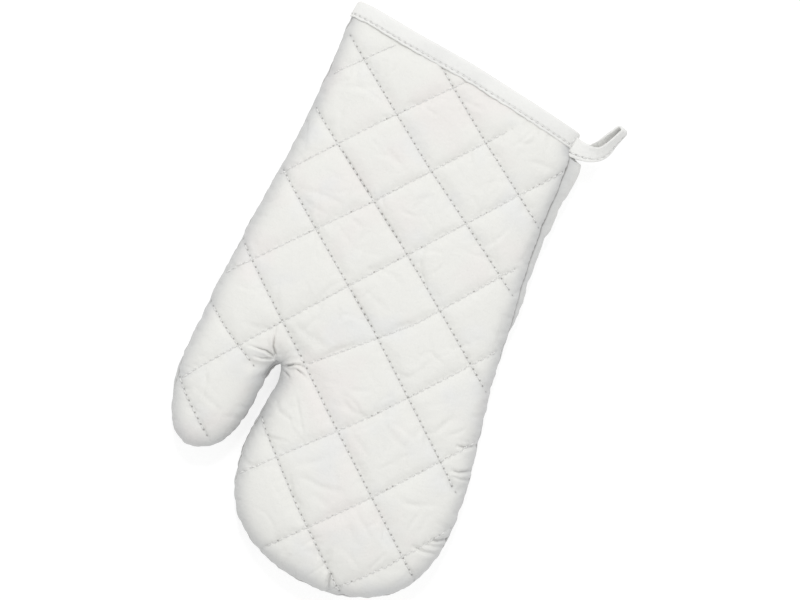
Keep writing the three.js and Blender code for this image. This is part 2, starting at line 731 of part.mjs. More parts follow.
function makeHangingLoop(root) {
  const shell = new Shell();
  const places = loopRows.map(
    ({ out, back, up }) =>
      new THREE.Vector3(root.x - out * loopReach, root.y - back * loopReach, root.z + up * loopReach)
  );
  const spine = new THREE.CatmullRomCurve3(places, false, "centripetal");
  const rows = loopRows.map((row, i) => ({ ...row, place: i / (loopRows.length - 1) }));
  const frameAt = (s) => {
    const ahead = spine.getTangent(s);
    const twist = readTable(rows, "place", s, "twist") * degree;
    const level = new THREE.Vector3(0, 0, 1).cross(ahead).normalize();
    const upright = ahead.clone().cross(level);
    const width = level.clone().multiplyScalar(Math.cos(twist)).addScaledVector(upright, Math.sin(twist));
    return { ahead, width, normal: ahead.clone().cross(width), place: spine.getPoint(s) };
  };
  const halfAt = (s) => loopEye * readTable(rows, "place", s, "eye");
  const sections = [];
  const addSection = (frame, half, angle, push) => {
    const out = frame.normal.clone().multiplyScalar(Math.cos(angle)).addScaledVector(frame.ahead, push);
    const centre = frame.place.clone().addScaledVector(out, half);
    sections.push({ centre, thick: out.normalize(), width: frame.width });
  };
  for (let k = 0; k <= loopSteps; k++) addSection(frameAt(k / loopSteps), halfAt(k / loopSteps), 0, 0);
  for (let k = 1; k < turnSteps; k++) {
    const angle = (Math.PI * k) / turnSteps;
    addSection(frameAt(1), halfAt(1), angle, Math.sin(angle));
  }
  for (let k = loopSteps; k >= 0; k--) addSection(frameAt(k / loopSteps), halfAt(k / loopSteps), Math.PI, 0);
  for (let k = 1; k < turnSteps; k++) {
    const angle = Math.PI + (Math.PI * k) / turnSteps;
    addSection(frameAt(0), halfAt(0), angle, Math.sin(angle));
  }
  const corners = [[1, 1], [-1, 1], [-1, -1], [1, -1]];
  const rings = sections.map(({ centre, thick, width }) =>
    corners.map(([w, t]) => {
      const place = centre.clone().addScaledVector(width, (w * loopWidth) / 2);
      place.addScaledVector(thick, (t * loopTape) / 2);
      return shell.point(place.x, place.y, place.z);
    })
  );
  rings.forEach((ring, k) => {
    const next = rings[(k + 1) % rings.length];
    shell.band([...ring, ring[0]], [...next, next[0]], true);
  });
  return shell;
}

// Assembly

const back = makeBackPanel();
const palm = makePalmPanel();
const binding = makeCuffBinding(back, palm);
[back.shell, palm.shell, binding].forEach((shell) => shell.bowCuff());
const cornerX = Math.min(...binding.positions.filter((value, i) => i % 3 === 0));
const loopStandOff = clearance + loopTape / 2 + loopEye * loopRows[0].eye;
const loopRoot = new THREE.Vector3(cornerX - loopStandOff, bindingWidth / 2 - bowAt(cornerX), loopRootLevel);
const loop = makeHangingLoop(loopRoot);

const glove = new THREE.Group();
glove.add(back.shell.mesh("back_panel", 0xe8e8e3, 0.9));
glove.add(palm.shell.mesh("palm_panel", 0xe6e6e1, 0.9));
glove.add(binding.mesh("cuff_binding", 0xececea, 0.85));
glove.add(loop.mesh("hanging_loop", 0xeeeeec, 0.85));

// The reference point is the middle of the whole mitt, on the surface that it rests on
const box = new THREE.Box3().setFromObject(glove);
const middle = box.getCenter(new THREE.Vector3());
glove.position.set(-middle.x, -middle.y, -box.min.z);

export default glove;
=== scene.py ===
# %% [markdown]
# # A quilted oven mitt, from a fixed CAD frame to a finished picture
# The real mitt is two panels of ready-quilted cotton, sewn together inside out and turned, with a
# folded tape bound over the open cuff. Its tail is the hanging loop. It lies flat, palm down.
# The CAD model already has the outline, the puffs and the main folds, so this script makes the
# same four pieces again from the same sizes, much finer, and each one stands in for its solid.

# %% Load the fixed frame
import math

import bmesh
import bpy
import numpy as np
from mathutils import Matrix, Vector, geometry, interpolate, kdtree, noise
from mathutils.bvhtree import BVHTree


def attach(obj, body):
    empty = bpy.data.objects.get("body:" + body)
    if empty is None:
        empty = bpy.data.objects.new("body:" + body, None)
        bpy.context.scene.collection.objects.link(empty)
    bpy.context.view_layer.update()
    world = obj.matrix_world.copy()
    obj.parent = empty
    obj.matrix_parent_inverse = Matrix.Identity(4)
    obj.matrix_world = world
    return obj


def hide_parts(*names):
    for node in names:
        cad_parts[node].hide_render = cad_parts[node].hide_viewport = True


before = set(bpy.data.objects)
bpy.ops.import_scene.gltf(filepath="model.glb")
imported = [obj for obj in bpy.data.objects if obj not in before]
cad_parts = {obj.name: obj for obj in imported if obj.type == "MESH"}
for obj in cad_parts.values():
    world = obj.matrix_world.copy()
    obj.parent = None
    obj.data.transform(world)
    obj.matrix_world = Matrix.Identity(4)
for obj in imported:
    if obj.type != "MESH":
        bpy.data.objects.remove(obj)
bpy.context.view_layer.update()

bpy.ops.object.select_all(action="DESELECT")
scene = bpy.context.scene
print("nodes:", sorted(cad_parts))

# %% [markdown]
# ## Camera, floor and light
# The photograph looks straight down through a long lens, with the mitt turned on the table. A
# camera three metres up does the same, rolled about its own axis. The floor is plain and pale, and
# shines a little itself, so that it comes out as white as the photograph's ground. One broad
# softbox stands beyond the cuff, where the photograph's light comes from, and the pale sky of the
# world fills the rest, so the shadows stay faint.

# %% Camera, floor and lights
VIEW_WIDTH = 0.456
CAMERA_HEIGHT = 3.0
CAMERA_TURN = math.radians(180) + math.atan2(132, 231)

camera_data = bpy.data.cameras.new("camera")
camera_data.sensor_width = 36
camera_data.lens = camera_data.sensor_width * CAMERA_HEIGHT / VIEW_WIDTH
camera = bpy.data.objects.new("camera", camera_data)
camera.location = (-0.0076, -0.0097, CAMERA_HEIGHT + 0.015)
camera.rotation_euler = (0, 0, CAMERA_TURN)
scene.collection.objects.link(camera)
scene.camera = camera

bpy.ops.mesh.primitive_plane_add(size=6, location=(0, 0, -0.0003))
floor = bpy.context.object
floor.name = "floor"
bpy.ops.object.transform_apply(location=True, rotation=True, scale=True)


def add_softbox(name, place, size, watts):
    data = bpy.data.lights.new(name, "AREA")
    data.shape, data.size, data.energy = "DISK", size, watts
    lamp = bpy.data.objects.new(name, data)
    lamp.location = place
    lamp.rotation_euler = (-Vector(place)).to_track_quat("-Z", "Y").to_euler()
    scene.collection.objects.link(lamp)


add_softbox("key", (1.1, -2.1, 2.6), 1.0, 40)
add_softbox("overhead", (-0.7, 0.3, 2.6), 1.8, 12)

world = bpy.data.worlds.new("sky")
world.use_nodes = True
world.node_tree.nodes["Background"].inputs["Color"].default_value = (1, 1, 1, 1)
world.node_tree.nodes["Background"].inputs["Strength"].default_value = 0.68
scene.world = world
scene.view_settings.view_transform = "Standard"
print("camera lens", round(camera_data.lens, 1), "mm")

# %% [markdown]
# ## Sizes and small helpers
# The mitt's own frame has its origin at the middle of the cuff, +Y towards the fingertips and +X
# towards the thumb. All the shapes are worked out there, in metres, and moved to the row's frame
# at the end. The tables repeat those of the CAD source: shares of a few named sizes.

# %% Named sizes
MM = 0.001
TO_ROW = np.array([24.034, -141.863, 0.0]) * MM
LENGTH, CUFF_WIDTH, CUFF_SHIFT = 300 * MM, 149 * MM, -0.6 * MM
FORK = np.array([9.2, 198.0]) * MM
THUMB_WIDTH, THUMB_LENGTH, HAND_WIDTH = 55 * MM, 66 * MM, 132 * MM
HAND_LENGTH = LENGTH - FORK[1]
SEAM_ROLL, ROLL_RISE, BOW, BOW_REACH = 7.4 * MM, 0.7, 5 * MM, 60 * MM
SEAM_HEIGHT, SEAM_LEVEL, CROWN = 9 * MM, 11 * MM, 19 * MM
DOME_REACH, EDGE_REACH, WALL = 45 * MM, 10 * MM, 4.2 * MM
QUILT_DEPTH, ALLOWANCE = 1.5 * MM, 4 * MM
BINDING_WIDTH, TAPE, CUFF_START = 10.5 * MM, 0.8 * MM, 1.2 * MM
ROLL_REST, HALF_GAP = 0.04, 0.15 * MM
STITCH = 3.8 * MM


def smooth(low, high, value):
    t = np.clip((value - low) / (high - low), 0, 1)
    return t * t * (3 - 2 * t)


def quarter_round(t):
    return np.sqrt(1 - (1 - np.clip(t, 0, 1)) ** 2)


def look_up(table, place):
    places, values = zip(*table)
    return np.interp(place, places, values)


def bow_at(x):
    table = ((-1, 0.25), (-0.5, 0.65), (0, 1), (0.5, 0.95), (0.85, 1.08), (1, 1))
    return BOW * look_up(table, 2 * (x - CUFF_SHIFT) / CUFF_WIDTH)


def bowed(xy):
    """The open edge bows out, and the wrist follows it less and less."""
    lift = bow_at(xy[:, 0]) * (1 - smooth(BINDING_WIDTH, BOW_REACH, xy[:, 1]))
    return np.column_stack([xy[:, 0], xy[:, 1] - lift])


def rise_at(y):
    return CROWN * look_up(((0.04, 0.82), (0.3, 0.92), (0.65, 1), (1, 0.9)), y / LENGTH)


# %% [markdown]
# ## The outline
# The side seam is one smooth curve through a few points. Each is a share of the size that it
# belongs to: the cuff, the wrist, the thumb or the hand. Stations are then set along it, closer
# where it turns, each with its direction into the mitt.

# %% The side seam and its stations
OUTLINE = (
    ("cuff", 1.0, 1.056), ("wrist", 0.957, 0.15), ("wrist", 0.9, 0.4), ("wrist", 0.886, 0.7),
    ("thumb", 0.998, -0.27), ("thumb", 0.96, 0.09), ("thumb", 0.925, 0.45), ("thumb", 0.82, 0.71),
    ("thumb", 0.66, 0.92), ("thumb", 0.46, 1.0), ("thumb", 0.24, 0.93), ("thumb", 0.1, 0.77),
    ("thumb", 0.042, 0.5), ("thumb", 0.055, 0.16), ("thumb", 0.03, 0.03), ("thumb", 0.0, 0.0),
    ("hand", 0.021, 0.06), ("hand", 0.02, 0.3), ("hand", 0.03, 0.5), ("hand", 0.075, 0.7),
    ("hand", 0.17, 0.86), ("hand", 0.31, 0.962), ("hand", 0.51, 1.0), ("hand", 0.72, 0.966),
    ("hand", 0.86, 0.865), ("hand", 0.968, 0.7), ("hand", 1.006, 0.43), ("hand", 0.966, 0.07),
    ("wrist", -1.4, 0.8), ("wrist", -1.268, 0.59), ("wrist", -1.138, 0.38), ("wrist", -1.062, 0.19),
    ("cuff", -1.025, 1.51), ("cuff", -1.0, 1.056),
)


def outline_point(part, across, along):
    if part in ("cuff", "wrist"):
        height = BINDING_WIDTH if part == "cuff" else FORK[1]
        return CUFF_SHIFT + across * CUFF_WIDTH / 2, along * height
    width, length = (THUMB_WIDTH, THUMB_LENGTH) if part == "thumb" else (-HAND_WIDTH, HAND_LENGTH)
    return FORK[0] + across * width, FORK[1] + along * length


def curve_through(points, steps):
    """A curve through unevenly spaced points that doesn't overshoot between them."""
    p = np.vstack([2 * points[0] - points[1], points, 2 * points[-1] - points[-2]])
    knots = np.linalg.norm(np.diff(p, axis=0), axis=1) ** 0.5
    t = np.linspace(0, len(points) - 1, steps + 1)
    i = np.minimum(t.astype(int), len(points) - 2)
    w = (t - i)[:, None]
    d0, d1, d2 = (knots[i + k][:, None] for k in range(3))
    x0, x1, x2, x3 = (p[i + k] for k in range(4))
    m1 = ((x1 - x0) / d0 - (x2 - x0) / (d0 + d1)) * d1 + (x2 - x1)
    m2 = (x2 - x1) + ((x3 - x2) / d2 - (x3 - x1) / (d1 + d2)) * d1
    return x1 + w * (m1 + w * (-3 * x1 + 3 * x2 - 2 * m1 - m2 + w * (2 * x1 - 2 * x2 + m1 + m2)))


def roll_at(points):
    """Width of the strip of palm that is rolled to the front, on the far side of the wrist."""
    table = (
        (0.004, ROLL_REST), (0.023, 1), (0.24, 0.72), (0.271, 0.5), (0.472, 0.5), (0.578, ROLL_REST)
    )
    far_side = (points[:, 0] < CUFF_SHIFT - CUFF_WIDTH / 3) & (points[:, 1] < FORK[1])
    place = (points[:, 1] - BINDING_WIDTH) / (FORK[1] - BINDING_WIDTH)
    return SEAM_ROLL * np.where(far_side, look_up(table, place), ROLL_REST)


CURVE_STEPS, SIDE_POINTS, SIDE_BLEND = 6000, 6, 12 * MM


def make_stations(step, turn):
    """Places on the seam, closer where it turns, and the direction into the mitt at each."""
    curve = curve_through(np.array([outline_point(*row) for row in OUTLINE]), CURVE_STEPS)
    ways = np.gradient(curve, axis=0)
    heading = np.unwrap(np.arctan2(ways[:, 1], ways[:, 0]))
    steps = np.linalg.norm(np.diff(curve, axis=0), axis=1) / step
    cost = np.concatenate([[0], np.cumsum(steps + np.abs(np.diff(heading)) / math.radians(turn))])
    places = np.linspace(0, cost[-1], round(cost[-1]) + 1)
    index = np.searchsorted(cost, places).clip(0, CURVE_STEPS)
    points = curve[index]
    inward = np.column_stack([-np.sin(heading[index]), np.cos(heading[index])])
    for _ in range(14):
        inward[1:-1] = inward[:-2] + 2 * inward[1:-1] + inward[2:]
        inward /= np.linalg.norm(inward, axis=1)[:, None]
    sides = []
    for end, way in ((points[0], -1), (points[-1], 1)):
        ys = np.linspace(CUFF_START, end[1], SIDE_POINTS + 1)[:-1]
        sides.append(np.column_stack([np.full(SIDE_POINTS, end[0]), ys]))
        blend = smooth(end[1], end[1] + SIDE_BLEND, points[:, 1])[:, None]
        near = (np.abs(points[:, 0] - end[0]) < SIDE_BLEND)[:, None]
        inward = np.where(near, inward * blend + np.array([way, 0]) * (1 - blend), inward)
    points = np.vstack([sides[0], points, sides[1][::-1]])
    ends = [np.tile([way, 0], (SIDE_POINTS, 1)) for way in (-1.0, 1.0)]
    inward = np.vstack([ends[0], inward, ends[1]])
    return points, inward / np.linalg.norm(inward, axis=1)[:, None]


stations, inward = make_stations(1.9 * MM, 6)
station_roll = roll_at(stations)
station_lift = (station_roll - ROLL_REST * SEAM_ROLL) * ROLL_RISE
print(len(stations), "stations on the side seam")

# %% [markdown]
# ## The quilting
# Two families of parallel lines are sewn through the cloth before the panels are cut. They run
# nearly square to each other, but not evenly: each line strays a little. A place is told by its
# line number and its place along the line, both in pitches, and a table says where each line
# starts and ends, and how far it strays at its start, middle and end.

# %% Quilting lines
FAMILIES = {"A": (37.8 * MM, 0.838, math.radians(57.8)), "B": (37.2 * MM, 1.9, math.radians(146.6))}
QUILT_ROWS = (
    ("A", 1, -0.4, 2.6, 0.16, 0.1, -0.02, ""), ("A", 2, -1.3, 3.3, 0.15, 0.03, -0.19, ""),
    ("A", 3, -0.7, 4.4, 0.13, -0.06, -0.16, ""), ("A", 4, 0.0, 5.5, -0.01, -0.09, -0.04, ""),
    ("A", 5, 0.6, 6.4, 0.03, 0.1, 0.14, ""), ("A", 6, 1.2, 2.4, -0.1, -0.15, -0.25, "thumb"),
    ("A", 6, 2.9, 6.2, 0.02, 0.18, 0.25, "hand"), ("A", 7, 1.8, 3.0, -0.16, -0.12, -0.12, "thumb"),
    ("B", 1, -1.9, -0.6, 0.0, 0.03, 0.07, ""), ("B", 2, -3.3, 0.0, 0.0, 0.0, 0.05, ""),
    ("B", 3, -4.7, 0.2, -0.03, 0.04, 0.01, ""), ("B", 4, -6.1, 0.7, 0.1, 0.01, -0.05, ""),
    ("B", 5, -4.25, -0.7, -0.21, 0.0, -0.06, ""), ("B", 6, -6.0, -1.4, -0.2, -0.05, -0.05, ""),
    ("B", 7, -6.1, -2.4, 0.0, 0.06, 0.04, ""), ("B", 8, -5.5, -3.4, 0.06, 0.11, 0.05, ""),
)
MOST_LINES, PALM_SHIFT = 11, 0.45


def row_table(family, part):
    table = np.full((MOST_LINES, 5), np.nan)
    for name, line, *values, where in QUILT_ROWS:
        if name == family and where in ("", part):
            table[line] = values
    return table


ROWS = {(f, part): row_table(f, part) for f in "AB" for part in ("thumb", "hand")}


def quilt_place(family, xy):
    pitch, start, angle = FAMILIES[family]
    c, s = math.cos(angle), math.sin(angle)
    x, y = xy[:, 0], xy[:, 1]
    return start + (x * c + y * s) / pitch, (y * c - x * s) / pitch


def quilt_point(family, number, along):
    pitch, start, angle = FAMILIES[family]
    c, s = math.cos(angle), math.sin(angle)
    n, a = (number - start) * pitch, along * pitch
    return np.column_stack([c * n - s * a, s * n + c * a])


def thumbness(xy):
    """1 on the thumb's side of the fork and 0 on the hand's, with a soft change below it."""
    half = 1.5 * MM + 11 * MM * smooth(0, 25 * MM, FORK[1] - xy[:, 1])
    return smooth(FORK[0] - half, FORK[0] + half, xy[:, 0])


def line_stray(family, line, along, thumb):
    both = []
    for part in ("hand", "thumb"):
        rows = ROWS[family, part][np.clip(line, 0, MOST_LINES - 1)]
        t = np.clip((along - rows[:, 0]) / (rows[:, 1] - rows[:, 0]), 0, 1)
        half = np.where(t < 0.5, 2 * t, 2 * t - 1)
        first = np.where(t < 0.5, rows[:, 2], rows[:, 3])
        both.append(first + (np.where(t < 0.5, rows[:, 3], rows[:, 4]) - first) * half)
    hand, thumb_side = both
    only_hand, only_thumb = np.isnan(thumb_side), np.isnan(hand)
    hand, thumb_side = np.where(only_thumb, thumb_side, hand), np.where(only_hand, hand, thumb_side)
    return hand * (1 - thumb) + thumb_side * thumb


def stray(family, number, along, xy):
    line = np.floor(number).astype(int)
    thumb = thumbness(xy)
    low, high = line_stray(family, line, along, thumb), line_stray(family, line + 1, along, thumb)
    low, high = np.where(np.isnan(low), high, low), np.where(np.isnan(high), low, high)
    return np.nan_to_num(low + (high - low) * (number - line))


def sewn_place(family, xy, shift):
    """Line number on the sewn grid, place along it, and 1 where that line is really sewn."""
    number, along = quilt_place(family, xy)
    if shift:
        return number + shift, along, np.ones(len(xy))
    sewn = number.copy()
    for _ in range(6):
        sewn = number - stray(family, sewn, along, xy)
    line = np.clip(np.round(sewn).astype(int), 0, MOST_LINES - 1)
    thumb = thumbness(xy)
    ends = []
    for part in ("hand", "thumb"):
        rows = ROWS[family, part][line]
        inside = np.minimum(along - rows[:, 0], rows[:, 1] - along)
        ends.append(np.nan_to_num(smooth(-0.12, 0.02, inside)))
    return sewn, along, ends[0] * (1 - thumb) + ends[1] * thumb


def line_distance(family, xy, shift):
    """Distance to the nearest sewn line of a family, and whether it is there."""
    sewn, _, there = sewn_place(family, xy, shift)
    return np.abs(sewn - np.round(sewn)) * FAMILIES[family][0], there


ROW_DEPTH, SHARPNESS = {"A": 1.0, "B": 0.58}, 3.4


def puff_at(xy, shift):
    """0 on a sewn line and 1 in the middle of a diamond. More SHARPNESS gives steeper sides."""
    puff = np.ones(len(xy))
    for family in "AB":
        away, there = line_distance(family, xy, shift)
        q = np.clip(2 * away / FAMILIES[family][0], 0, 1)
        puff *= 1 - ROW_DEPTH[family] * there * (1 - q) ** SHARPNESS
    return puff


# %% [markdown]
# ## Depth inside the seam
# The back is a low dome. Its height depends on how far a place is from the seam, and near a
# corner both sides count, so the distance is rounded there. An integral over the outline gives
# that smooth distance at once for all points. The cuff is open, so its sides are run on past it.

# %% Smooth distance from the seam
SEAM_LINE = np.vstack([[stations[0, 0], -LENGTH / 4], stations[::3], [stations[-1, 0], -LENGTH / 4]])


def depth_inside(xy):
    total = np.zeros(len(xy))
    for a, b in zip(SEAM_LINE[:-1], SEAM_LINE[1:]):
        length = np.linalg.norm(b - a)
        ux, uy = (b - a) / length
        dx, dy = xy[:, 0] - a[0], xy[:, 1] - a[1]
        ahead = dx * ux + dy * uy
        apart = np.maximum(np.abs(dx * uy - dy * ux), 1e-6)
        for s, sign in ((ahead, 1), (ahead - length, -1)):
            total += sign * s / (apart * apart * np.hypot(apart, s))
    return np.sqrt(2 / np.maximum(total, 1e-9))


# %% [markdown]
# ## From rings and a lattice to one fine sheet
# Near the seam a sheet is made of rings that follow it, because there it turns over fast. Inside
# the last ring it is a lattice whose lines are the sewn ones, many cells to a diamond, so that
# the cloth can be held exactly on its stitches. A Delaunay triangulation joins the lattice to the
# ring, and pairs of triangles are then joined into quads, which subdivide smoothly.

# %% Building a sheet


def is_inside(xy, polygon):
    inside = np.zeros(len(xy), bool)
    for a, b in zip(np.roll(polygon, 1, axis=0), polygon):
        crosses = (a[1] > xy[:, 1]) != (b[1] > xy[:, 1])
        with np.errstate(divide="ignore", invalid="ignore"):
            at = a[0] + (b[0] - a[0]) * (xy[:, 1] - a[1]) / (b[1] - a[1])
        inside ^= crosses & (xy[:, 0] < at)
    return inside


def unbowed(xy):
    y = xy[:, 1].copy()
    for _ in range(8):
        y = xy[:, 1] + bow_at(xy[:, 0]) * (1 - smooth(BINDING_WIDTH, BOW_REACH, y))
    return np.column_stack([xy[:, 0], y])


def lattice(cells, shift):
    """Crossings of the sewn lines and of the lines between them, in the unbowed plan."""
    a, b = np.meshgrid(np.arange(-1, 8.6, 1 / cells), np.arange(-1, 10, 1 / cells))
    a, b = a.ravel() - shift, b.ravel() - shift
    xy = np.zeros((len(a), 2))
    for _ in range(0 if shift else 14):
        (_, along_a), (_, along_b) = quilt_place("A", xy), quilt_place("B", xy)
        xy = crossing(a + stray("A", a, along_a, xy), b + stray("B", b, along_b, xy))
    return unbowed(crossing(a, b) if shift else xy)


def crossing(a, b):
    (pa, sa, ta), (pb, sb, tb) = FAMILIES["A"], FAMILIES["B"]
    u, v = (a - sa) * pa, (b - sb) * pb
    det = math.cos(ta) * math.sin(tb) - math.sin(ta) * math.cos(tb)
    x = (u * math.sin(tb) - v * math.sin(ta)) / det
    y = (v * math.cos(ta) - u * math.cos(tb)) / det
    return np.column_stack([x, y])


def fill(rim, field):
    """Faces over the rim and the field points, as index tuples, mostly quads."""
    points = np.vstack([rim, field]) / MM
    loop = list(range(len(rim)))
    corners = [Vector(p) for p in points]
    _, _, faces, origin, _, _ = geometry.delaunay_2d_cdt(corners, [], [loop], 1, 1e-5)
    flat = bmesh.new()
    verts = [flat.verts.new((x, y, 0)) for x, y in points]
    for face in faces:
        flat.faces.new([verts[origin[i][0]] for i in face])
    flat.verts.index_update()
    bmesh.ops.join_triangles(
        flat, faces=flat.faces[:], angle_face_threshold=3.1, angle_shape_threshold=math.radians(40)
    )
    result = [tuple(v.index for v in face.verts) for face in flat.faces]
    flat.free()
    return result


class Sheet:
    """Points of one face of a panel: rings from the seam inwards, then the field."""

    def __init__(self, rings, heights, cells, shift):
        last = rings[-1]
        step = FAMILIES["A"][0] / cells
        first, end = last[0, :2], last[-1, :2]
        count = round((first[0] - end[0]) / step)
        xs = np.linspace(end[0], first[0], count + 1)[1:-1]
        cuff = np.column_stack([xs, np.full(count - 1, CUFF_START)])
        rim = np.vstack([last[:, :2], cuff])
        field = lattice(cells, shift)
        field = field[(field[:, 1] > CUFF_START + 0.7 * step) & is_inside(field, rim)]
        tree = kdtree.KDTree(len(rim))
        for i, (x, y) in enumerate(rim):
            tree.insert((x, y, 0), i)
        tree.balance()
        room = np.array([tree.find((x, y, 0))[2] for x, y in field])
        field = field[room > 0.72 * step]
        inner = np.vstack([cuff, field])
        inner = np.column_stack([inner, heights(inner)])
        self.plan = np.vstack([*(ring[:, :2] for ring in rings), inner[:, :2]])
        self.points = np.vstack([*rings, inner])
        size, base = len(last), len(last) * (len(rings) - 1)
        grid = np.arange(size * len(rings)).reshape(len(rings), size)
        self.faces = [
            (grid[k, i], grid[k, i + 1], grid[k + 1, i + 1], grid[k + 1, i])
            for k in range(len(rings) - 1)
            for i in range(size - 1)
        ]
        self.faces += [tuple(base + i for i in face) for face in fill(rim, field)]
        cuff_indices = list(range(grid.size + len(cuff) - 1, grid.size - 1, -1))
        self.cuff = [*grid[:, 0], *cuff_indices, *grid[::-1, -1]]
        rows = np.repeat(np.arange(len(rings)), size)
        self.ring = np.concatenate([rows, np.full(len(inner), len(rings))])


def rings_from(offsets, heights):
    """Rings at offsets in from the seam. Both arguments give one value to each station."""
    rings = []
    for offset, height in zip(offsets, heights):
        place = stations + inward * np.broadcast_to(offset, len(stations))[:, None]
        rings.append(np.column_stack([place, height(place)]))
    return rings


# %% [markdown]
# ## The four sheets
# The back panel is a dome over a lining, and the palm panel lies flat, turns up at its edge and
# meets the back at the seam. On the far side of the wrist it is rolled round to the front. The
# sewn lines pull a sheet in along its own normal, so the same rule works on the dome, on the flat
# and round the edge.

# %% Rings and heights of the four sheets
DEG = math.pi / 180


def dome(xy, inside):
    return SEAM_LEVEL + rise_at(xy[:, 1]) * quarter_round(inside / DOME_REACH)


def lining_dome(xy, inside):
    share = quarter_round((inside - ALLOWANCE) / (DOME_REACH - ALLOWANCE))
    return SEAM_LEVEL + HALF_GAP + (rise_at(xy[:, 1]) - WALL) * share


def on_dome(surface, offset):
    lift = station_lift * (1 - offset / EDGE_REACH) ** 2
    return lambda place: surface(place, depth_inside(place)) + lift


BACK_OFFSETS = EDGE_REACH * np.array([0.012, 0.05, 0.11, 0.2, 0.31, 0.44, 0.6, 0.8, 1.0])
LINING_OFFSETS = (ALLOWANCE + 0.3 * MM, ALLOWANCE + 1.5 * MM, ALLOWANCE + 3.5 * MM, EDGE_REACH)
seam_ring = rings_from([0], [lambda place: SEAM_LEVEL + station_lift])

back_outer = Sheet(
    seam_ring + rings_from(BACK_OFFSETS, [on_dome(dome, offset) for offset in BACK_OFFSETS]),
    lambda xy: dome(xy, depth_inside(xy)), 16, 0,
)
back_lining = Sheet(
    seam_ring + rings_from([ALLOWANCE], [lambda place: SEAM_LEVEL + HALF_GAP + station_lift])
    + rings_from(LINING_OFFSETS, [on_dome(lining_dome, offset) for offset in LINING_OFFSETS]),
    lambda xy: lining_dome(xy, depth_inside(xy)), 6, 0,
)
print("back:", len(back_outer.points), "and", len(back_lining.points), "points")

roll_angles = [angle * DEG for angle in range(72, -1, -18)]
turn_angles = [angle * DEG for angle in range(9, 91, 9)]
hollow_angles = [angle * DEG for angle in (18, 36, 60, 90)]
roll_up, seam_up = SEAM_LEVEL - SEAM_HEIGHT + station_lift, SEAM_LEVEL + station_lift
palm_outer = Sheet(
    seam_ring
    + rings_from(
        [-station_roll * math.cos(a) for a in roll_angles],
        [lambda place, a=a: SEAM_HEIGHT + roll_up * math.sin(a) for a in roll_angles],
    )
    + rings_from(
        [EDGE_REACH - (EDGE_REACH + station_roll) * math.cos(a) for a in turn_angles],
        [lambda place, a=a: np.full(len(place), SEAM_HEIGHT * (1 - math.sin(a))) for a in turn_angles],
    ),
    lambda xy: np.zeros(len(xy)), 20, PALM_SHIFT,
)
palm_lining = Sheet(
    seam_ring + rings_from([ALLOWANCE], [lambda place: SEAM_LEVEL - HALF_GAP + station_lift])
    + rings_from(
        [ALLOWANCE + (EDGE_REACH - ALLOWANCE) * (1 - math.cos(a)) for a in hollow_angles],
        [lambda place, a=a: seam_up * (1 - math.sin(a)) + WALL * math.sin(a) for a in hollow_angles],
    ),
    lambda xy: np.full(len(xy), WALL), 9, PALM_SHIFT,
)
print("palm:", len(palm_outer.points), "and", len(palm_lining.points), "points")

# %% [markdown]
# ## Puffing the cloth
# Real quilting is flat cloth held down on its stitches while the wadding pushes it up between
# them, and the spare cloth gathers into small puckers. So each sheet starts with its sewn lines
# pressed in, is cut about two per cent too large, and is blown up gently by Blender's cloth,
# pinned on its stitches, its seam and its cuff. The solver likes cloth of the size of a bed
# sheet, so it works on a copy forty times larger. No point may move further than a cap.

# %% Pressing the stitches in, and the cloth simulation
CLOTH_SCALE = 40


def make_mesh(name, points, faces):
    mesh = bpy.data.meshes.new(name)
    mesh.from_pydata(np.asarray(points).tolist(), [], [tuple(int(i) for i in f) for f in faces])
    return mesh


def normals_of(points, faces):
    mesh = make_mesh("normals", points, faces)
    normals = np.empty(3 * len(points), np.float32)
    mesh.vertices.foreach_get("normal", normals)
    bpy.data.meshes.remove(mesh)
    return normals.reshape(-1, 3)


def puff_cloth(points, faces, held, push, growth, cap, frames=14):
    sheet = bpy.data.objects.new("sheet", make_mesh("sheet", points * CLOTH_SCALE, faces))
    scene.collection.objects.link(sheet)
    group = sheet.vertex_groups.new(name="sewn")
    for weight in np.unique(np.round(held, 1)):
        if weight > 0:
            group.add(np.flatnonzero(np.round(held, 1) == weight).tolist(), float(weight), "REPLACE")
    cloth = sheet.modifiers.new("cloth", "CLOTH")
    cloth.collision_settings.use_collision = False
    cloth.point_cache.frame_end = frames
    settings = cloth.settings
    settings.quality, settings.mass = 5, 0.2
    settings.tension_stiffness = settings.compression_stiffness = 20
    settings.shear_stiffness, settings.bending_stiffness = 8, 0.6
    settings.shrink_min = -growth
    settings.vertex_group_mass, settings.pin_stiffness = "sewn", 1
    settings.use_pressure, settings.uniform_pressure_force = True, push
    settings.use_pressure_volume, settings.target_volume = True, 0
    settings.effector_weights.gravity = 0
    for number in range(1, frames + 1):
        scene.frame_set(number)
    settled = sheet.evaluated_get(bpy.context.evaluated_depsgraph_get()).data
    moved = np.empty(3 * len(points), np.float32)
    settled.vertices.foreach_get("co", moved)
    move = moved.reshape(-1, 3) / CLOTH_SCALE - points
    far = np.linalg.norm(move, axis=1)
    bpy.data.objects.remove(sheet)
    scene.frame_set(1)
    print(f"cloth moved {far.mean() / MM:.2f} mm on average and {far.max() / MM:.2f} mm at most")
    return points + move * np.minimum(1, cap / np.maximum(far, 1e-9))[:, None]


def bell(distance, width):
    return np.exp(-((distance / width) ** 2))


def running(row):
    """Length along a row of points, from its start to each point."""
    return np.concatenate([[0], np.cumsum(np.linalg.norm(np.diff(row, axis=0), axis=1))])


def noise_at(places):
    return np.array([noise.noise(Vector(place)) for place in places])


SEAM_PINCH, FAR_FROM_SEAM = 0.9 * MM, 30 * MM
seam_wobble = 2 * noise_at([(a, 3.7, 0.5) for a in running(stations) / (6 * MM)]) * 0.35 * MM


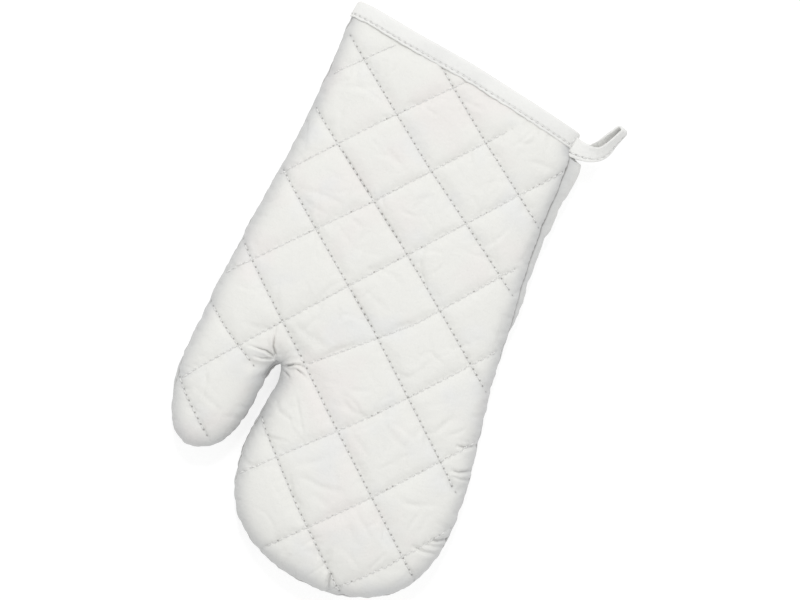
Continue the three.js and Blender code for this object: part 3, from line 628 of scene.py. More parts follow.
def press(sheet, outward, shift):
    """Bows the cuff, pulls the sewn lines in, pinches the seam, and puffs the rest up."""
    sheet.plan = bowed(sheet.plan)
    flat = np.column_stack([sheet.plan, sheet.points[:, 2]])
    faces = sheet.faces if outward > 0 else [f[::-1] for f in sheet.faces]
    normals = normals_of(flat, faces)
    below = smooth(BINDING_WIDTH, 2 * BINDING_WIDTH, sheet.points[:, 1])
    puff = puff_at(sheet.plan, shift)
    size, ring_count = len(stations), sheet.ring.max()
    edge = size * ring_count
    at_seam = puff_at(sheet.plan[:size], 0)
    rows = flat[:edge].reshape(ring_count, size, 3)
    from_seam = np.cumsum(np.linalg.norm(np.diff(rows, axis=0), axis=2), axis=0)
    from_seam = np.vstack([np.zeros(size), from_seam])
    edge_puff = puff[:edge].reshape(ring_count, size)
    puff[:edge] = (edge_puff + (at_seam - edge_puff) * bell(from_seam, 3 * MM)).ravel()
    relief = QUILT_DEPTH * (1 - puff * below)
    wobble = seam_wobble * np.exp(-from_seam / (5 * MM))
    relief[:edge] += (SEAM_PINCH * bell(from_seam, 1.5 * MM) + wobble).ravel()
    sheet.seam_gap = np.full(len(flat), FAR_FROM_SEAM)
    sheet.seam_gap[:edge] = from_seam.ravel()
    pressed = flat - normals * relief[:, None]
    pressed[:size] = flat[:size]
    pinch = 0.75 * QUILT_DEPTH * (1 - at_seam) * below[:size] + SEAM_PINCH + seam_wobble
    pressed[:size, :2] += inward * pinch[:, None]
    pressed[:size, :2] += inward * (0.75 * QUILT_DEPTH * (1 - below[:size]))[:, None]
    held = np.zeros(len(flat))
    for family in "AB":
        away, there = line_distance(family, sheet.plan, shift)
        held = np.maximum(held, there * np.clip(1 - away / (1.3 * MM), 0, 1))
    held[sheet.points[:, 1] < BINDING_WIDTH + 0.5 * MM] = 1
    held[: 2 * size] = 1
    return pressed, faces, held


back_pressed, back_faces, back_held = press(back_outer, 1, 0)
palm_pressed, palm_faces, palm_held = press(palm_outer, -1, PALM_SHIFT)
back_cloth = puff_cloth(back_pressed, back_faces, back_held, 2.2, 0.02, 1.3 * MM)
palm_cloth = puff_cloth(palm_pressed, palm_faces, palm_held, 1.6, 0.02, 1.1 * MM)
palm_cloth[:, 2] = np.maximum(palm_cloth[:, 2], 0)

# %% [markdown]
# ## Closed panels
# Each panel is one closed padded body: the puffed sheet outside, the lining inside, joined along
# the seam and at the cut edge of the cuff. Every point keeps its place in the plan, so that the
# quilting can be found again after subdivision has made the mesh finer.

# %% Joining each sheet to its lining


def unrolled(sheet):
    """Where each point would lie if the sheet were smoothed out flat, for the weave to follow."""
    size = len(stations)
    count = sheet.ring.max()
    rows = sheet.points[: size * count].reshape(count, size, 3)
    steps = np.linalg.norm(np.diff(rows, axis=0), axis=2)[::-1]
    out = np.vstack([np.zeros(size), np.cumsum(steps, axis=0)])[::-1]
    flat = sheet.plan.copy()
    last_ring = sheet.plan[size * (count - 1) : size * count]
    flat[: size * count] = (last_ring - out[..., None] * inward).reshape(-1, 2)
    return flat


def zip_rows(points, first, second):
    """Triangles between two rows of points, paired by their share of the length."""
    shares = []
    for row in (first, second):
        sums = running(points[row])
        shares.append(sums / sums[-1])
    faces, i, j = [], 0, 0
    while i < len(first) - 1 or j < len(second) - 1:
        if j == len(second) - 1 or (i < len(first) - 1 and shares[0][i + 1] <= shares[1][j + 1]):
            faces.append((first[i], first[i + 1], second[j]))
            i += 1
        else:
            faces.append((first[i], second[j + 1], second[j]))
            j += 1
    return [f for f in faces if len(set(f)) == 3]


def add_vectors(mesh, name, values):
    values = np.asarray(values, np.float32)
    if values.ndim == 1:
        mesh.attributes.new(name, "FLOAT", "POINT").data.foreach_set("value", values)
    else:
        mesh.attributes.new(name, "FLOAT_VECTOR", "POINT").data.foreach_set("vector", values.ravel())


def read_vectors(mesh, name):
    data = mesh.attributes[name].data
    if mesh.attributes[name].data_type == "FLOAT":
        values = np.empty(len(data), np.float32)
        data.foreach_get("value", values)
        return values.astype(float)
    values = np.empty(3 * len(data), np.float32)
    data.foreach_get("vector", values)
    return values.reshape(-1, 3).astype(float)


def link_piece(name, mesh):
    piece = bpy.data.objects.new(name, mesh)
    scene.collection.objects.link(piece)
    return piece


def apply_modifiers(piece):
    bpy.ops.object.select_all(action="DESELECT")
    piece.select_set(True)
    bpy.context.view_layer.objects.active = piece
    for modifier in list(piece.modifiers):
        bpy.ops.object.modifier_apply(modifier=modifier.name)


def subdivide(piece, levels=1):
    modifier = piece.modifiers.new("finer", "SUBSURF")
    modifier.levels = modifier.render_levels = levels
    apply_modifiers(piece)


def seam_place(sheet):
    """Place along the seam, distance from it over the cloth, and distance from it in the plan."""
    run = np.zeros(len(sheet.points))
    rows = np.tile(running(stations), sheet.ring.max())
    run[: len(rows)] = rows
    return np.column_stack([run, sheet.seam_gap, depth_inside(sheet.plan)])


def close_panel(name, outer, cloth, faces, lining, inner, outer_first, levels):
    lining_points, lining_faces = inner
    size, base = len(stations), len(outer.points)
    index = np.concatenate([np.arange(size), base + np.arange(len(lining.points) - size)])
    points = np.vstack([cloth, lining_points[size:]])
    cuffs = [outer.cuff, [int(index[i]) for i in lining.cuff]]
    ends = zip_rows(points, *(cuffs if outer_first else cuffs[::-1]))
    all_faces = list(faces) + [tuple(index[i] for i in f) for f in lining_faces] + ends
    mesh = make_mesh(name, points + TO_ROW, all_faces)
    plan = np.column_stack([outer.plan, outer.points[:, 1]])
    lining_plan = np.column_stack([lining.plan, lining.points[:, 1]])
    add_vectors(mesh, "plan", np.vstack([plan, lining_plan[size:]]))
    flats = np.vstack([unrolled(outer), unrolled(lining)[size:]])
    add_vectors(mesh, "flat", np.column_stack([flats, np.zeros(len(flats))]))
    add_vectors(mesh, "lining", np.concatenate([np.zeros(base), np.ones(len(lining.points) - size)]))
    add_vectors(mesh, "seam", np.vstack([seam_place(outer), seam_place(lining)[size:]]))
    piece = link_piece(name, mesh)
    subdivide(piece, levels)
    return piece


def press_lining(lining, outward, shift):
    pressed, faces, _ = press(lining, outward, shift)
    flat = np.column_stack([lining.plan, lining.points[:, 2]])
    return flat + (pressed - flat) * 0.6, faces


inner = press_lining(back_lining, -1, 0)
back = close_panel("back_cloth", back_outer, back_cloth, back_faces, back_lining, inner, True, 2)
inner = press_lining(palm_lining, 1, PALM_SHIFT)
palm = close_panel("palm_cloth", palm_outer, palm_cloth, palm_faces, palm_lining, inner, False, 1)
print("panels:", len(back.data.polygons), "and", len(palm.data.polygons), "faces")

# %% [markdown]
# ## Puckers, creases and gathers
# The simulation gives the soft puffs. What a needle and a sewing thread do is smaller: a dimple at
# every hole, short puckers beside each row of stitches, and sharp gathers where the seam turns at
# the fork of the thumb. They are added as small moves along the normal. The creases are laid
# where the photograph shows them, each a short path with a depth and a width.

# %% Small relief on the outer faces
CREASES = (
    (((14.2, 194.5), (17.6, 191.0), (20.4, 184.9), (22.4, 179.5)), 1.7, 0.62),
    (((14.7, 195.6), (20.6, 194.9), (26.4, 196.2), (31.4, 197.8)), 1.8, 0.65),
    (((15.1, 197.0), (20.4, 199.8), (26.1, 201.3)), 1.3, 0.65),
    (((5.7, 196.6), (2.6, 194.1), (-0.5, 192.7), (-3.9, 194.0)), 1.6, 0.6),
    (((-0.4, 196.0), (-5.0, 196.6), (-9.3, 198.8)), 1.2, 0.65),
    (((4.9, 200.4), (2.2, 201.2), (0.2, 202.9)), 1.1, 0.65),
    (((11.0, 196.8), (11.6, 199.8), (12.2, 203.5), (13.4, 209.5)), 1.5, 1.9),
    (((14.2, 195.6), (12.6, 197.2), (10.6, 198.4)), 1.6, 1.2),
    (((-79.0, 297.5), (-76.0, 292.0), (-74.5, 286.0)), 1.3, 1.3),
    (((49.5, 105.1), (36.0, 102.0), (22.5, 100.8)), 0.45, 1.6),
    (((43.7, 109.6), (35.4, 110.6), (27.1, 110.0)), 0.35, 1.5),
    (((-70.8, 218.1), (-73.4, 204.0), (-72.0, 189.2)), -0.6, 2.6),
    (((-28.8, 196.2), (-38.9, 200.2), (-49.1, 199.7)), 0.6, 1.8),
    (((5.6, 156.8), (3.9, 164.3), (6.9, 173.9)), 0.6, 1.6),
    (((-28.4, 98.0), (-30.7, 107.8), (-34.9, 113.9)), 0.55, 1.4),
    (((-31.6, 247.1), (-45.0, 246.6), (-58.7, 242.8)), 0.5, 1.8),
    (((-84.3, 230.1), (-93.0, 230.6), (-102.8, 228.1)), 0.45, 1.8),
    (((-38.0, 60.0), (-42.6, 64.0), (-44.0, 70.0)), 0.5, 1.8),
    (((0.0, 114.0), (3.6, 119.0), (3.0, 125.0)), 0.35, 1.8),
    (((-112.5, 181.6), (-106.0, 186.6), (-99.8, 188.4)), 1.2, 1.2),
    (((-116.5, 195.8), (-109.6, 200.6), (-104.4, 202.2)), 1.3, 1.2),
    (((-118.5, 200.5), (-112.0, 203.6), (-107.0, 204.6)), 0.9, 1.0),
    (((-125.0, 236.0), (-119.0, 240.6), (-114.3, 242.5)), 1.4, 1.2),
    (((-124.0, 241.0), (-118.0, 244.6), (-111.0, 246.0)), 1.1, 1.1),
    (((-121.5, 247.5), (-114.0, 250.0), (-106.0, 250.0)), 1.0, 1.2),
)
# Stretches of sewn line that are pressed deeper and also get painted shade in the material.
DARK_ROWS = (
    ((40.5, 75.0), (10.5, 90.7)), ((4.8, 93.9), (-16.9, 106.5)), ((-4.0, 141.4), (-28.1, 157.2)),
)
LOOSE_CREASES, NARROW = 210, 0.66 * MM


def loose_creases(count, seed):
    """Short wrinkles at random places. Most start beside a sewn line and run off it."""
    chance = np.random.default_rng(seed)
    rows = []
    while len(rows) < count:
        family = "AB"[chance.integers(2)]
        line, along, sign = chance.integers(0, 10), chance.uniform(-7, 7), chance.choice((-1, 1))
        start = quilt_point(family, line + sign * chance.uniform(0.03, 0.45), along)[0]
        angle = FAMILIES[family][2] + (0 if sign > 0 else math.pi) + chance.normal(0, 0.7)
        bend, length = chance.normal(0, 0.2), chance.uniform(8, 24) * MM
        path = [start]
        for k in range(3):
            way = angle + k * bend
            path.append(path[-1] + length / 3 * np.array([math.cos(way), math.sin(way)]))
        if is_inside(np.array([path[0], path[-1]]), stations).all():
            rows.append((np.array(path) / MM, chance.uniform(0.16, 0.5), chance.uniform(1.0, 2.1)))
    return rows


def beside(xy, path):
    """For each point, its distance from a path, its share of the way along, and its side."""
    best = np.full(len(xy), 1.0)
    along, side = np.zeros(len(xy)), np.zeros(len(xy))
    lengths = np.linalg.norm(np.diff(path, axis=0), axis=1)
    starts = np.concatenate([[0], np.cumsum(lengths)]) / lengths.sum()
    for k, (a, b) in enumerate(zip(path[:-1], path[1:])):
        way = (b - a) / lengths[k]
        t = np.clip((xy - a) @ way, 0, lengths[k])
        gap = xy - a - t[:, None] * way
        away = np.linalg.norm(gap, axis=1)
        nearer = away < best
        best = np.where(nearer, away, best)
        along = np.where(nearer, starts[k] + t / lengths.sum(), along)
        side = np.where(nearer, gap @ np.array([-way[1], way[0]]), side)
    return best, along, side


def crease_relief(xy, creases):
    """Depth of the creases. A narrow one is a gather, which is deepest at its start."""
    depth = np.zeros(len(xy))
    for path, deep, wide in creases:
        path, deep, wide = np.array(path) * MM, deep * MM, wide * MM
        reach = 6 * wide
        low, high = path.min(axis=0) - reach, path.max(axis=0) + reach
        near = np.flatnonzero(((xy > low) & (xy < high)).all(axis=1))
        if not len(near):
            continue
        away, along, side = beside(xy[near], path)
        run = np.sqrt(np.clip(1 - (2 * along - 1) ** 2, 0, 1)) if wide > NARROW else 1 - along**2
        lip = bell(side - 2.1 * wide, 1.6 * wide) * (away < reach)
        depth[near] += deep * run * (bell(away, wide) - 0.4 * lip)
    return depth


def stitch_relief(xy, shift):
    depth = np.zeros(len(xy))
    for number, family in enumerate("AB"):
        sewn, along, there = sewn_place(family, xy, shift)
        pitch = FAMILIES[family][0]
        away = (sewn - np.round(sewn)) * pitch
        turn = 2 * np.pi * along * pitch / STITCH
        depth += there * 0.22 * MM * bell(away, 1.1 * MM) * (0.55 + 0.45 * np.cos(turn))
        row_seed, side_seed = np.round(sewn) * 7.3 + number * 3.1, np.sign(away) * 2.7
        lumps = noise_at(np.column_stack([along * pitch / (4.6 * MM), row_seed, side_seed]))
        fade = np.exp(-np.abs(away) / (4 * MM)) * (1 - bell(away, MM))
        depth += there * 0.55 * MM * lumps * fade
    return depth


def soft_noise(xy, size, seed):
    return noise_at([(x / size, y / size, seed) for x, y in xy])


def mesh_arrays(mesh):
    """Points, normals and the triangles' corners of a mesh, as arrays."""
    mesh.calc_loop_triangles()
    arrays = []
    for items, name, kind in (
        (mesh.vertices, "co", np.float32),
        (mesh.vertices, "normal", np.float32),
        (mesh.loop_triangles, "vertices", np.int32),
    ):
        values = np.empty(3 * len(items), kind)
        items.foreach_get(name, values)
        arrays.append(values.reshape(-1, 3))
    points, normals, corners = arrays
    return points.astype(float), normals.astype(float), corners


def add_small_relief(piece, shift, creased):
    """Moves the outer face in by all the small forms, and keeps what the material needs."""
    mesh = piece.data
    points, normals, _ = mesh_arrays(mesh)
    plan = read_vectors(mesh, "plan")
    outside = 1 - read_vectors(mesh, "lining")
    below = smooth(BINDING_WIDTH - MM, BINDING_WIDTH + MM, plan[:, 2])
    xy = plan[:, :2]
    depth = stitch_relief(xy, shift) * below
    depth += 0.20 * MM * soft_noise(xy, 9 * MM, 1.5 + shift) + 0.35 * MM * soft_noise(xy, 26 * MM, 8.5 + shift)
    named = CREASES if creased else ()
    folds = crease_relief(xy, [*named, *loose_creases(LOOSE_CREASES, 5 if creased else 6)]) * below
    seam = read_vectors(mesh, "seam")
    seam_gap = seam[:, 1]
    puckers = noise_at([(run / (2.1 * MM), gap / (6 * MM), shift) for run, gap, _ in seam])
    seam_fade = np.exp(-seam_gap / (2.6 * MM)) * (1 - np.exp(-seam_gap / (0.6 * MM)))
    depth += folds + 0.5 * MM * puckers * seam_fade
    sewn = sewn_place("A", xy, shift)[0]
    on_line = bell((sewn - np.round(sewn)) * FAMILIES["A"][0], 0.75 * MM)
    # Painted shade in the named creases and along the dark rows, kept in the fold attribute for the material.
    crease_shade = np.clip(crease_relief(xy, named) / MM, 0, 1)
    for a, b in DARK_ROWS if creased else ():
        away, along, _ = beside(xy, np.array([a, b]) * MM)
        strip = on_line * np.exp(-((away / (3 * MM)) ** 4)) * smooth(0, 0.1, along) * smooth(1, 0.9, along)
        depth += 0.5 * MM * strip
        crease_shade = np.maximum(crease_shade, 1.3 * strip)
    add_vectors(mesh, "fold", np.outer(crease_shade * outside, (1, 0, 0)))
    for family, name in (("A", "row_a"), ("B", "row_b")):
        sewn, along, there = sewn_place(family, xy, shift)
        there = there * below * (1 if creased else smooth(4 * MM, 12 * MM, seam_gap))
        add_vectors(mesh, name, np.column_stack([along * FAMILIES[family][0] / STITCH, sewn, there]))
    points -= normals * (depth * outside)[:, None]
    if not creased:
        points[:, 2] = np.maximum(points[:, 2], 0)
    mesh.vertices.foreach_set("co", points.astype(np.float32).ravel())
    mesh.update()
    print(piece.name, "relief", round(depth.min() / MM, 2), "to", round(depth.max() / MM, 2), "mm")


add_small_relief(back, 0, True)
add_small_relief(palm, PALM_SHIFT, False)

# %% [markdown]
# ## The cuff binding
# A tape is folded over the cut edges of both panels and sewn through, about two millimetres above
# its lower edge. It is one closed ring, so its section is swept round the cuff. The section is a U:
# an outer leaf, a soft crest at the open edge, and an inner leaf. Where the needle goes through,
# both leaves have a groove, and the tape puckers a little at each stitch.

# %% The binding's ring


CUFF_POINTS = 240
ALL_ROUND = np.linspace(0, 6.2832, 2 * CUFF_POINTS + 1)[:-1]


def face_outwards(mesh):
    shape = bmesh.new()
    shape.from_mesh(mesh)
    if shape.calc_volume(signed=True) < 0:
        bmesh.ops.reverse_faces(shape, faces=shape.faces[:])
    shape.to_mesh(mesh)
    shape.free()


def closed_row(row):
    return np.vstack([row, row[:1]])


def ring_mesh(name, rings, along, across):
    """A band of quads through rings of points that closes both ways, with a UV map in metres."""
    count, size = rings.shape[:2]
    faces, corners = [], []
    for i in range(count):
        for j in range(size):
            ni, nj = (i + 1) % count, (j + 1) % size
            faces.append((i * size + j, ni * size + j, ni * size + nj, i * size + nj))
            for a, b in ((i, j), (i + 1, j), (i + 1, j + 1), (i, j + 1)):
                corners.append((along[a], across[b]))
    mesh = make_mesh(name, rings.reshape(-1, 3) + TO_ROW, faces)
    mesh.uv_layers.new(name="tape").data.foreach_set("uv", np.ravel(corners))
    face_outwards(mesh)
    piece = link_piece(name, mesh)
    subdivide(piece)
    return piece


def even_row(row, count):
    sums = running(row)
    places = np.linspace(0, sums[-1], count + 1)[:-1]
    return np.column_stack([np.interp(places, sums, row[:, k]) for k in range(row.shape[1])])


def cuff_loop(back_row, palm_row):
    """An even, softened loop round the cuff: along the back's edge and home along the palm's."""
    loop = np.vstack([even_row(back_row, CUFF_POINTS), even_row(palm_row[::-1], CUFF_POINTS)])
    for _ in range(10):
        loop = (np.roll(loop, 1, axis=0) + 2 * loop + np.roll(loop, -1, axis=0)) / 4
    return loop


def outward_of(loop):
    ahead = np.roll(loop, -1, axis=0) - np.roll(loop, 1, axis=0)
    out = np.column_stack([ahead[:, 1], -ahead[:, 0]])
    out /= np.linalg.norm(out, axis=1)[:, None]
    return out * (1 if np.sum(out * (loop - loop.mean(axis=0))) > 0 else -1)


def lining_cuff(lining, points):
    return points[lining.cuff[1:-1]][:, [0, 2]]


back_lining_points, _ = press_lining(back_lining, -1, 0)
palm_lining_points, _ = press_lining(palm_lining, 1, PALM_SHIFT)
outer_loop = cuff_loop(
    back_cloth[back_outer.cuff][:, [0, 2]], palm_cloth[palm_outer.cuff][:, [0, 2]]
)
inner_loop = cuff_loop(
    lining_cuff(back_lining, back_lining_points), lining_cuff(palm_lining, palm_lining_points)
)
NEAR, FAR, SEWN_AT, WAVY = 0.4, 1.2, 8.5, (0.5, 10.4)
LEAF = (
    (NEAR + 0.05, 10.25), (NEAR + 0.35, 10.5), (FAR - 0.02, 10.15), (FAR + 0.06, 9.6), (FAR, 9.0),
    (FAR - 0.34, SEWN_AT), (FAR, 8.0), (FAR + 0.1, 7.2), (FAR + 0.16, 5.6), (FAR + 0.12, 3.8),
    (FAR + 0.02, 2.2), (FAR - 0.18, 1.1), (NEAR + 0.15, 0.3),
)
OUTER_STITCHES, INNER_STITCHES = 5, 2 * len(LEAF) - 5
around = running(closed_row(outer_loop))


def tape_row(loop, out, offset, height, seed):
    """One row of the binding, with the small waves that sewing leaves in a tape."""
    wave, fine = (
        noise_at([(math.cos(a) * waves, math.sin(a) * waves, level) for a in ALL_ROUND])
        for waves, level in ((9, seed), (24, seed + 5))
    )
    stitch = np.cos(2 * np.pi * around[:-1] / STITCH)
    lift = offset * MM - 0.10 * MM * bell(height - SEWN_AT, 0.9) * stitch
    if WAVY[0] < height < WAVY[1] and offset > NEAR + 0.2:
        lift = lift + (0.14 * wave + 0.10 * fine) * MM
    y = height * MM + np.where(height > 9, 0.45 * MM * wave + 0.22 * MM * fine, 0)
    place = loop + out * np.broadcast_to(lift, len(loop))[:, None]
    return np.column_stack([place[:, 0], y, place[:, 1]])


outer_out, inner_out = outward_of(outer_loop), -outward_of(inner_loop)
rows = [tape_row(outer_loop, outer_out, offset, height, 1 + height / 9) for offset, height in LEAF]
crest = (outer_loop + inner_loop) / 2
rows.append(np.column_stack([crest[:, 0], np.zeros(len(crest)), crest[:, 1]]))
rows += [tape_row(inner_loop, inner_out, offset, height, 31 + height / 9) for offset, height in LEAF[::-1]]
rows.append(tape_row(inner_loop, inner_out, NEAR, TAPE / MM, 0))
rows.append(tape_row(outer_loop, outer_out, NEAR, TAPE / MM, 0))
sections = np.stack(rows, axis=1)
flat_sections = sections.reshape(-1, 3)
flat_sections[:, :2] = bowed(flat_sections[:, :2])
flat_sections[:, 2] = np.maximum(flat_sections[:, 2], 0)
sections = flat_sections.reshape(sections.shape)
binding_across = running(closed_row(sections[0]))
binding = ring_mesh("cuff_tape", sections, around, binding_across)
print("binding:", len(binding.data.polygons), "faces,", round(around[-1] / MM), "mm round")

# %% [markdown]
# ## The hanging loop
# The tape's tail runs out from the corner of the cuff, turns back on itself and is sewn down again.
# It lies flat where it leaves the corner and stands nearly on edge at its far end. A spine carries
# a frame with a growing twist, two strands run beside it, and half turns join them at both ends.

# %% The loop's two strands
LOOP_ROWS = (
    (0, -0.03, 0, 0, 0.38, 1.28), (0.155, -0.02, 0.01, 0, 0.6, 1.14), (0.34, 0.03, 0.02, 4, 0.8, 1.02),
    (0.475, 0.17, 0.05, 34, 0.75, 0.96), (0.55, 0.41, 0.1, 60, 0.6, 0.96), (0.63, 0.655, 0.13, 66, 0.45, 0.96),
)
LOOP_REACH, LOOP_EYE, LOOP_LEVEL = 31 * MM, 3.9 * MM, 10.5 * MM
LOOP_WIDTH, LOOP_TAPE = 9.6 * MM, 1.5 * MM
LOOP_FACE = (
    (-0.94, 0.86), (-0.82, 1.0), (-0.68, 0.96), (-0.58, 0.5), (-0.48, 0.96), (-0.25, 1.05),
    (0.1, 1.08), (0.5, 1.05), (0.84, 0.95), (0.96, 0.55),
)
LOOP_FOLD = ((-1.0, -0.45), (-0.965, -0.12), (-0.90, 0.0), (-0.965, 0.12), (-1.0, 0.45))
LOOP_PROFILE = (*LOOP_FACE, (1.0, 0.0), *((a, -b) for a, b in LOOP_FACE[::-1]), *LOOP_FOLD)
LOOP_STITCHES, LOOP_STITCHES_BELOW = 3, 17
corner_x = sections[..., 0].min()
loop_root = np.array([corner_x + 0.9 * MM, 6.6 * MM, LOOP_LEVEL + 1.5 * MM])
loop_places = np.array([
    loop_root + LOOP_REACH * np.array([-out, -back, up]) for out, back, up, *_ in LOOP_ROWS
])
LOOP_STEPS, LOOP_TURN = 70, 14
spine = curve_through(loop_places, LOOP_STEPS)
spine_ahead = np.gradient(spine, axis=0)
spine_ahead /= np.linalg.norm(spine_ahead, axis=1)[:, None]
spine_place = np.linspace(0, len(LOOP_ROWS) - 1, LOOP_STEPS + 1)
spine_twist, spine_half, spine_wide = (
    scale * np.interp(spine_place, range(len(LOOP_ROWS)), [row[column] for row in LOOP_ROWS])
    for column, scale in ((3, DEG), (4, LOOP_EYE), (5, 1))
)
for values in (spine_twist, spine_half):
    for _ in range(12):
        values[1:-1] = (values[:-2] + 2 * values[1:-1] + values[2:]) / 4


def loop_section(step, angle, push):
    ahead = spine_ahead[step]
    level = np.cross([0, 0, 1], ahead)
    level /= np.linalg.norm(level)
    twist = spine_twist[step]
    width = level * math.cos(twist) + np.cross(ahead, level) * math.sin(twist)
    out = np.cross(ahead, width) * math.cos(angle) + ahead * push
    centre = spine[step] + out * spine_half[step]
    thick = out / np.linalg.norm(out)
    across, deep = np.array(LOOP_PROFILE).T
    across, deep = across * spine_wide[step] * LOOP_WIDTH / 2, deep * LOOP_TAPE / 2
    return centre + width * across[:, None] + thick * deep[:, None]


turns = [math.pi * k / LOOP_TURN for k in range(1, LOOP_TURN)]
loop_sections = [loop_section(k, 0, 0) for k in range(LOOP_STEPS + 1)]
loop_sections += [loop_section(LOOP_STEPS, a, math.sin(a)) for a in turns]
loop_sections += [loop_section(k, math.pi, 0) for k in range(LOOP_STEPS, -1, -1)]
loop_sections += [loop_section(0, math.pi + a, -math.sin(a)) for a in turns]
loop_sections = np.array(loop_sections)
loop_along = running(closed_row(loop_sections.mean(axis=1)))
loop_across = running(closed_row(loop_sections[0]))
loop = ring_mesh("loop_tape", loop_sections, loop_along, loop_across)
print("hanging loop:", len(loop.data.polygons), "faces, tape", round(loop_along[-1] / MM), "mm long")

# %% [markdown]
# ## Stitches
# Each stitch is a short bulge of thread that dives into the cloth at both ends. Five small rings
# make one. To lay a stitch on the quilting, its place in the plan is looked up on a flat copy of
# the panel, because there a sewn line is exactly where its table says. On a tape, a stitch is
# dropped on the nearest face.

# %% One stitch, and the rows along the quilting lines
STITCH_SHAPE = (
    (0.14, -0.12, 0.2), (0.28, 0.18, 0.31), (0.5, 0.28, 0.34), (0.72, 0.18, 0.31), (0.86, -0.12, 0.2),
)
STITCH_SHARES = np.array([share for share, _, _ in STITCH_SHAPE])
STITCH_SIDES = 5
STITCH_FACES = STITCH_SIDES * (len(STITCH_SHAPE) - 1) + 2


class Thread:
    """Collects stitches, then makes them one mesh."""

    def __init__(self):
        self.points, self.faces, self.corners = [], [], []

    def add(self, places, normals):
        base = len(self.points)
        ahead = places[-1] - places[0]
        ahead /= np.linalg.norm(ahead)
        for (_, lift, radius), place, normal in zip(STITCH_SHAPE, places, normals):
            up = normal - ahead * (normal @ ahead)
            up /= np.linalg.norm(up)
            side = np.cross(ahead, up)
            for k in range(STITCH_SIDES):
                a = 2 * math.pi * k / STITCH_SIDES
                rise = lift * MM + 0.85 * radius * MM * math.sin(a)
                self.points.append(place + up * rise + side * (radius * MM * math.cos(a)))
        for i in range(len(STITCH_SHAPE) - 1):
            for k in range(STITCH_SIDES):
                n = (k + 1) % STITCH_SIDES
                row, ahead_row = base + i * STITCH_SIDES, base + (i + 1) * STITCH_SIDES
                self.faces.append((row + k, ahead_row + k, ahead_row + n, row + n))
                u, w = STITCH_SHAPE[i][0], STITCH_SHAPE[i + 1][0]
                v, x = k / STITCH_SIDES, (k + 1) / STITCH_SIDES
                self.corners += [(u, v), (w, v), (w, x), (u, x)]
        last = base + (len(STITCH_SHAPE) - 1) * STITCH_SIDES
        self.faces.append(tuple(base + k for k in range(STITCH_SIDES)))
        self.faces.append(tuple(last + k for k in reversed(range(STITCH_SIDES))))
        self.corners += [(0, 0)] * (2 * STITCH_SIDES)

    def make(self, name):
        mesh = make_mesh(name, self.points, self.faces)
        mesh.uv_layers.new(name="ply").data.foreach_set("uv", np.ravel(self.corners))
        face_outwards(mesh)
        print(name, len(self.faces) // STITCH_FACES, "stitches")
        return link_piece(name, mesh)


class Cloth:
    """Finds a place in the plan on a panel's outer face (side 1 from above, -1 from below)."""

    def __init__(self, piece, side):
        self.points, self.normals, corners = mesh_arrays(piece.data)
        plan, lining = read_vectors(piece.data, "plan"), read_vectors(piece.data, "lining")
        self.corners = corners[(lining[corners] < 0.5).all(axis=1)]
        self.flat = np.column_stack([plan[:, :2], self.points[:, 2]])
        self.tree = BVHTree.FromPolygons(self.flat.tolist(), self.corners.tolist())
        self.side = side

    def find(self, xy):
        hit, _, index, _ = self.tree.ray_cast(Vector((*xy, self.side)), Vector((0, 0, -self.side)))
        if index is None:
            return None
        corner = self.corners[index]
        share = np.array(interpolate.poly_3d_calc([Vector(p) for p in self.flat[corner]], hit))
        return share @ self.points[corner], share @ self.normals[corner]


def sew_quilting(name, piece, side, shift):
    cloth, thread = Cloth(piece, side), Thread()
    for family in "AB":
        pitch = FAMILIES[family][0]
        rows = QUILT_ROWS if not shift else [(family, k, -7, 8, 0, 0, 0, "") for k in range(-1, 10)]
        for name_, line, low, high, *_, part in rows:
            if name_ != family:
                continue
            low, high = math.ceil(low * pitch / STITCH), math.floor(high * pitch / STITCH)
            along = (np.arange(low, high)[:, None] + STITCH_SHARES).ravel() * STITCH / pitch
            number = np.full(len(along), line - shift, float)
            xy = quilt_point(family, number, along)
            for _ in range(0 if shift else 8):
                xy = quilt_point(family, number + stray(family, number, along, xy), along)
            above_tape = unbowed(xy)[:, 1] > BINDING_WIDTH + 0.5 * MM
            inside = is_inside(xy, stations) & (depth_inside(xy) > 1.6 * MM) & above_tape
            for stitch, good in zip(xy.reshape(-1, 5, 2), inside.reshape(-1, 5)):
                if part and (part == "thumb") != (stitch[2, 0] > FORK[0]):
                    continue
                found = [cloth.find(p) for p in stitch] if good.all() else [None]
                if None not in found and np.linalg.norm(found[-1][0] - found[0][0]) < 1.5 * STITCH:
                    thread.add(*(np.array(values) for values in zip(*found)))
    return thread.make(name)


def sew_path(thread, piece, path, closed=True):
    """Stitches along a path beside a tape, each dropped on the tape's nearest face."""
    points, normals, corners = mesh_arrays(piece.data)
    tree = BVHTree.FromPolygons(points.tolist(), corners.tolist())
    path = closed_row(path) if closed else path
    sums = running(path)
    count = round(sums[-1] / STITCH)
    for k in range(count):
        t = (k + STITCH_SHARES) * sums[-1] / count
        places, ups = [], []
        for place in np.column_stack([np.interp(t, sums, path[:, i]) for i in range(3)]):
            hit, normal, _, _ = tree.find_nearest(Vector(place))
            places.append(np.array(hit))
            ups.append(np.array(normal))
        thread.add(np.array(places), np.array(ups))


thread_back = sew_quilting("thread_back", back, 1, 0)
thread_palm = sew_quilting("thread_palm", palm, -1, PALM_SHIFT)
cuff_thread = Thread()
for row in (OUTER_STITCHES, INNER_STITCHES):
    sew_path(cuff_thread, binding, sections[:, row] + TO_ROW)
corner_path = np.array([
    [corner_x + 1.1 * MM, y * MM - bow_at(corner_x), 17.5 * MM] for y in (1.0, 4.4, 8.0)
])
sew_path(cuff_thread, binding, corner_path + TO_ROW, closed=False)
thread_cuff = cuff_thread.make("thread_cuff")
loop_thread = Thread()
sew_path(loop_thread, loop, loop_sections[:, LOOP_STITCHES] + TO_ROW)
thread_loop = loop_thread.make("thread_loop")
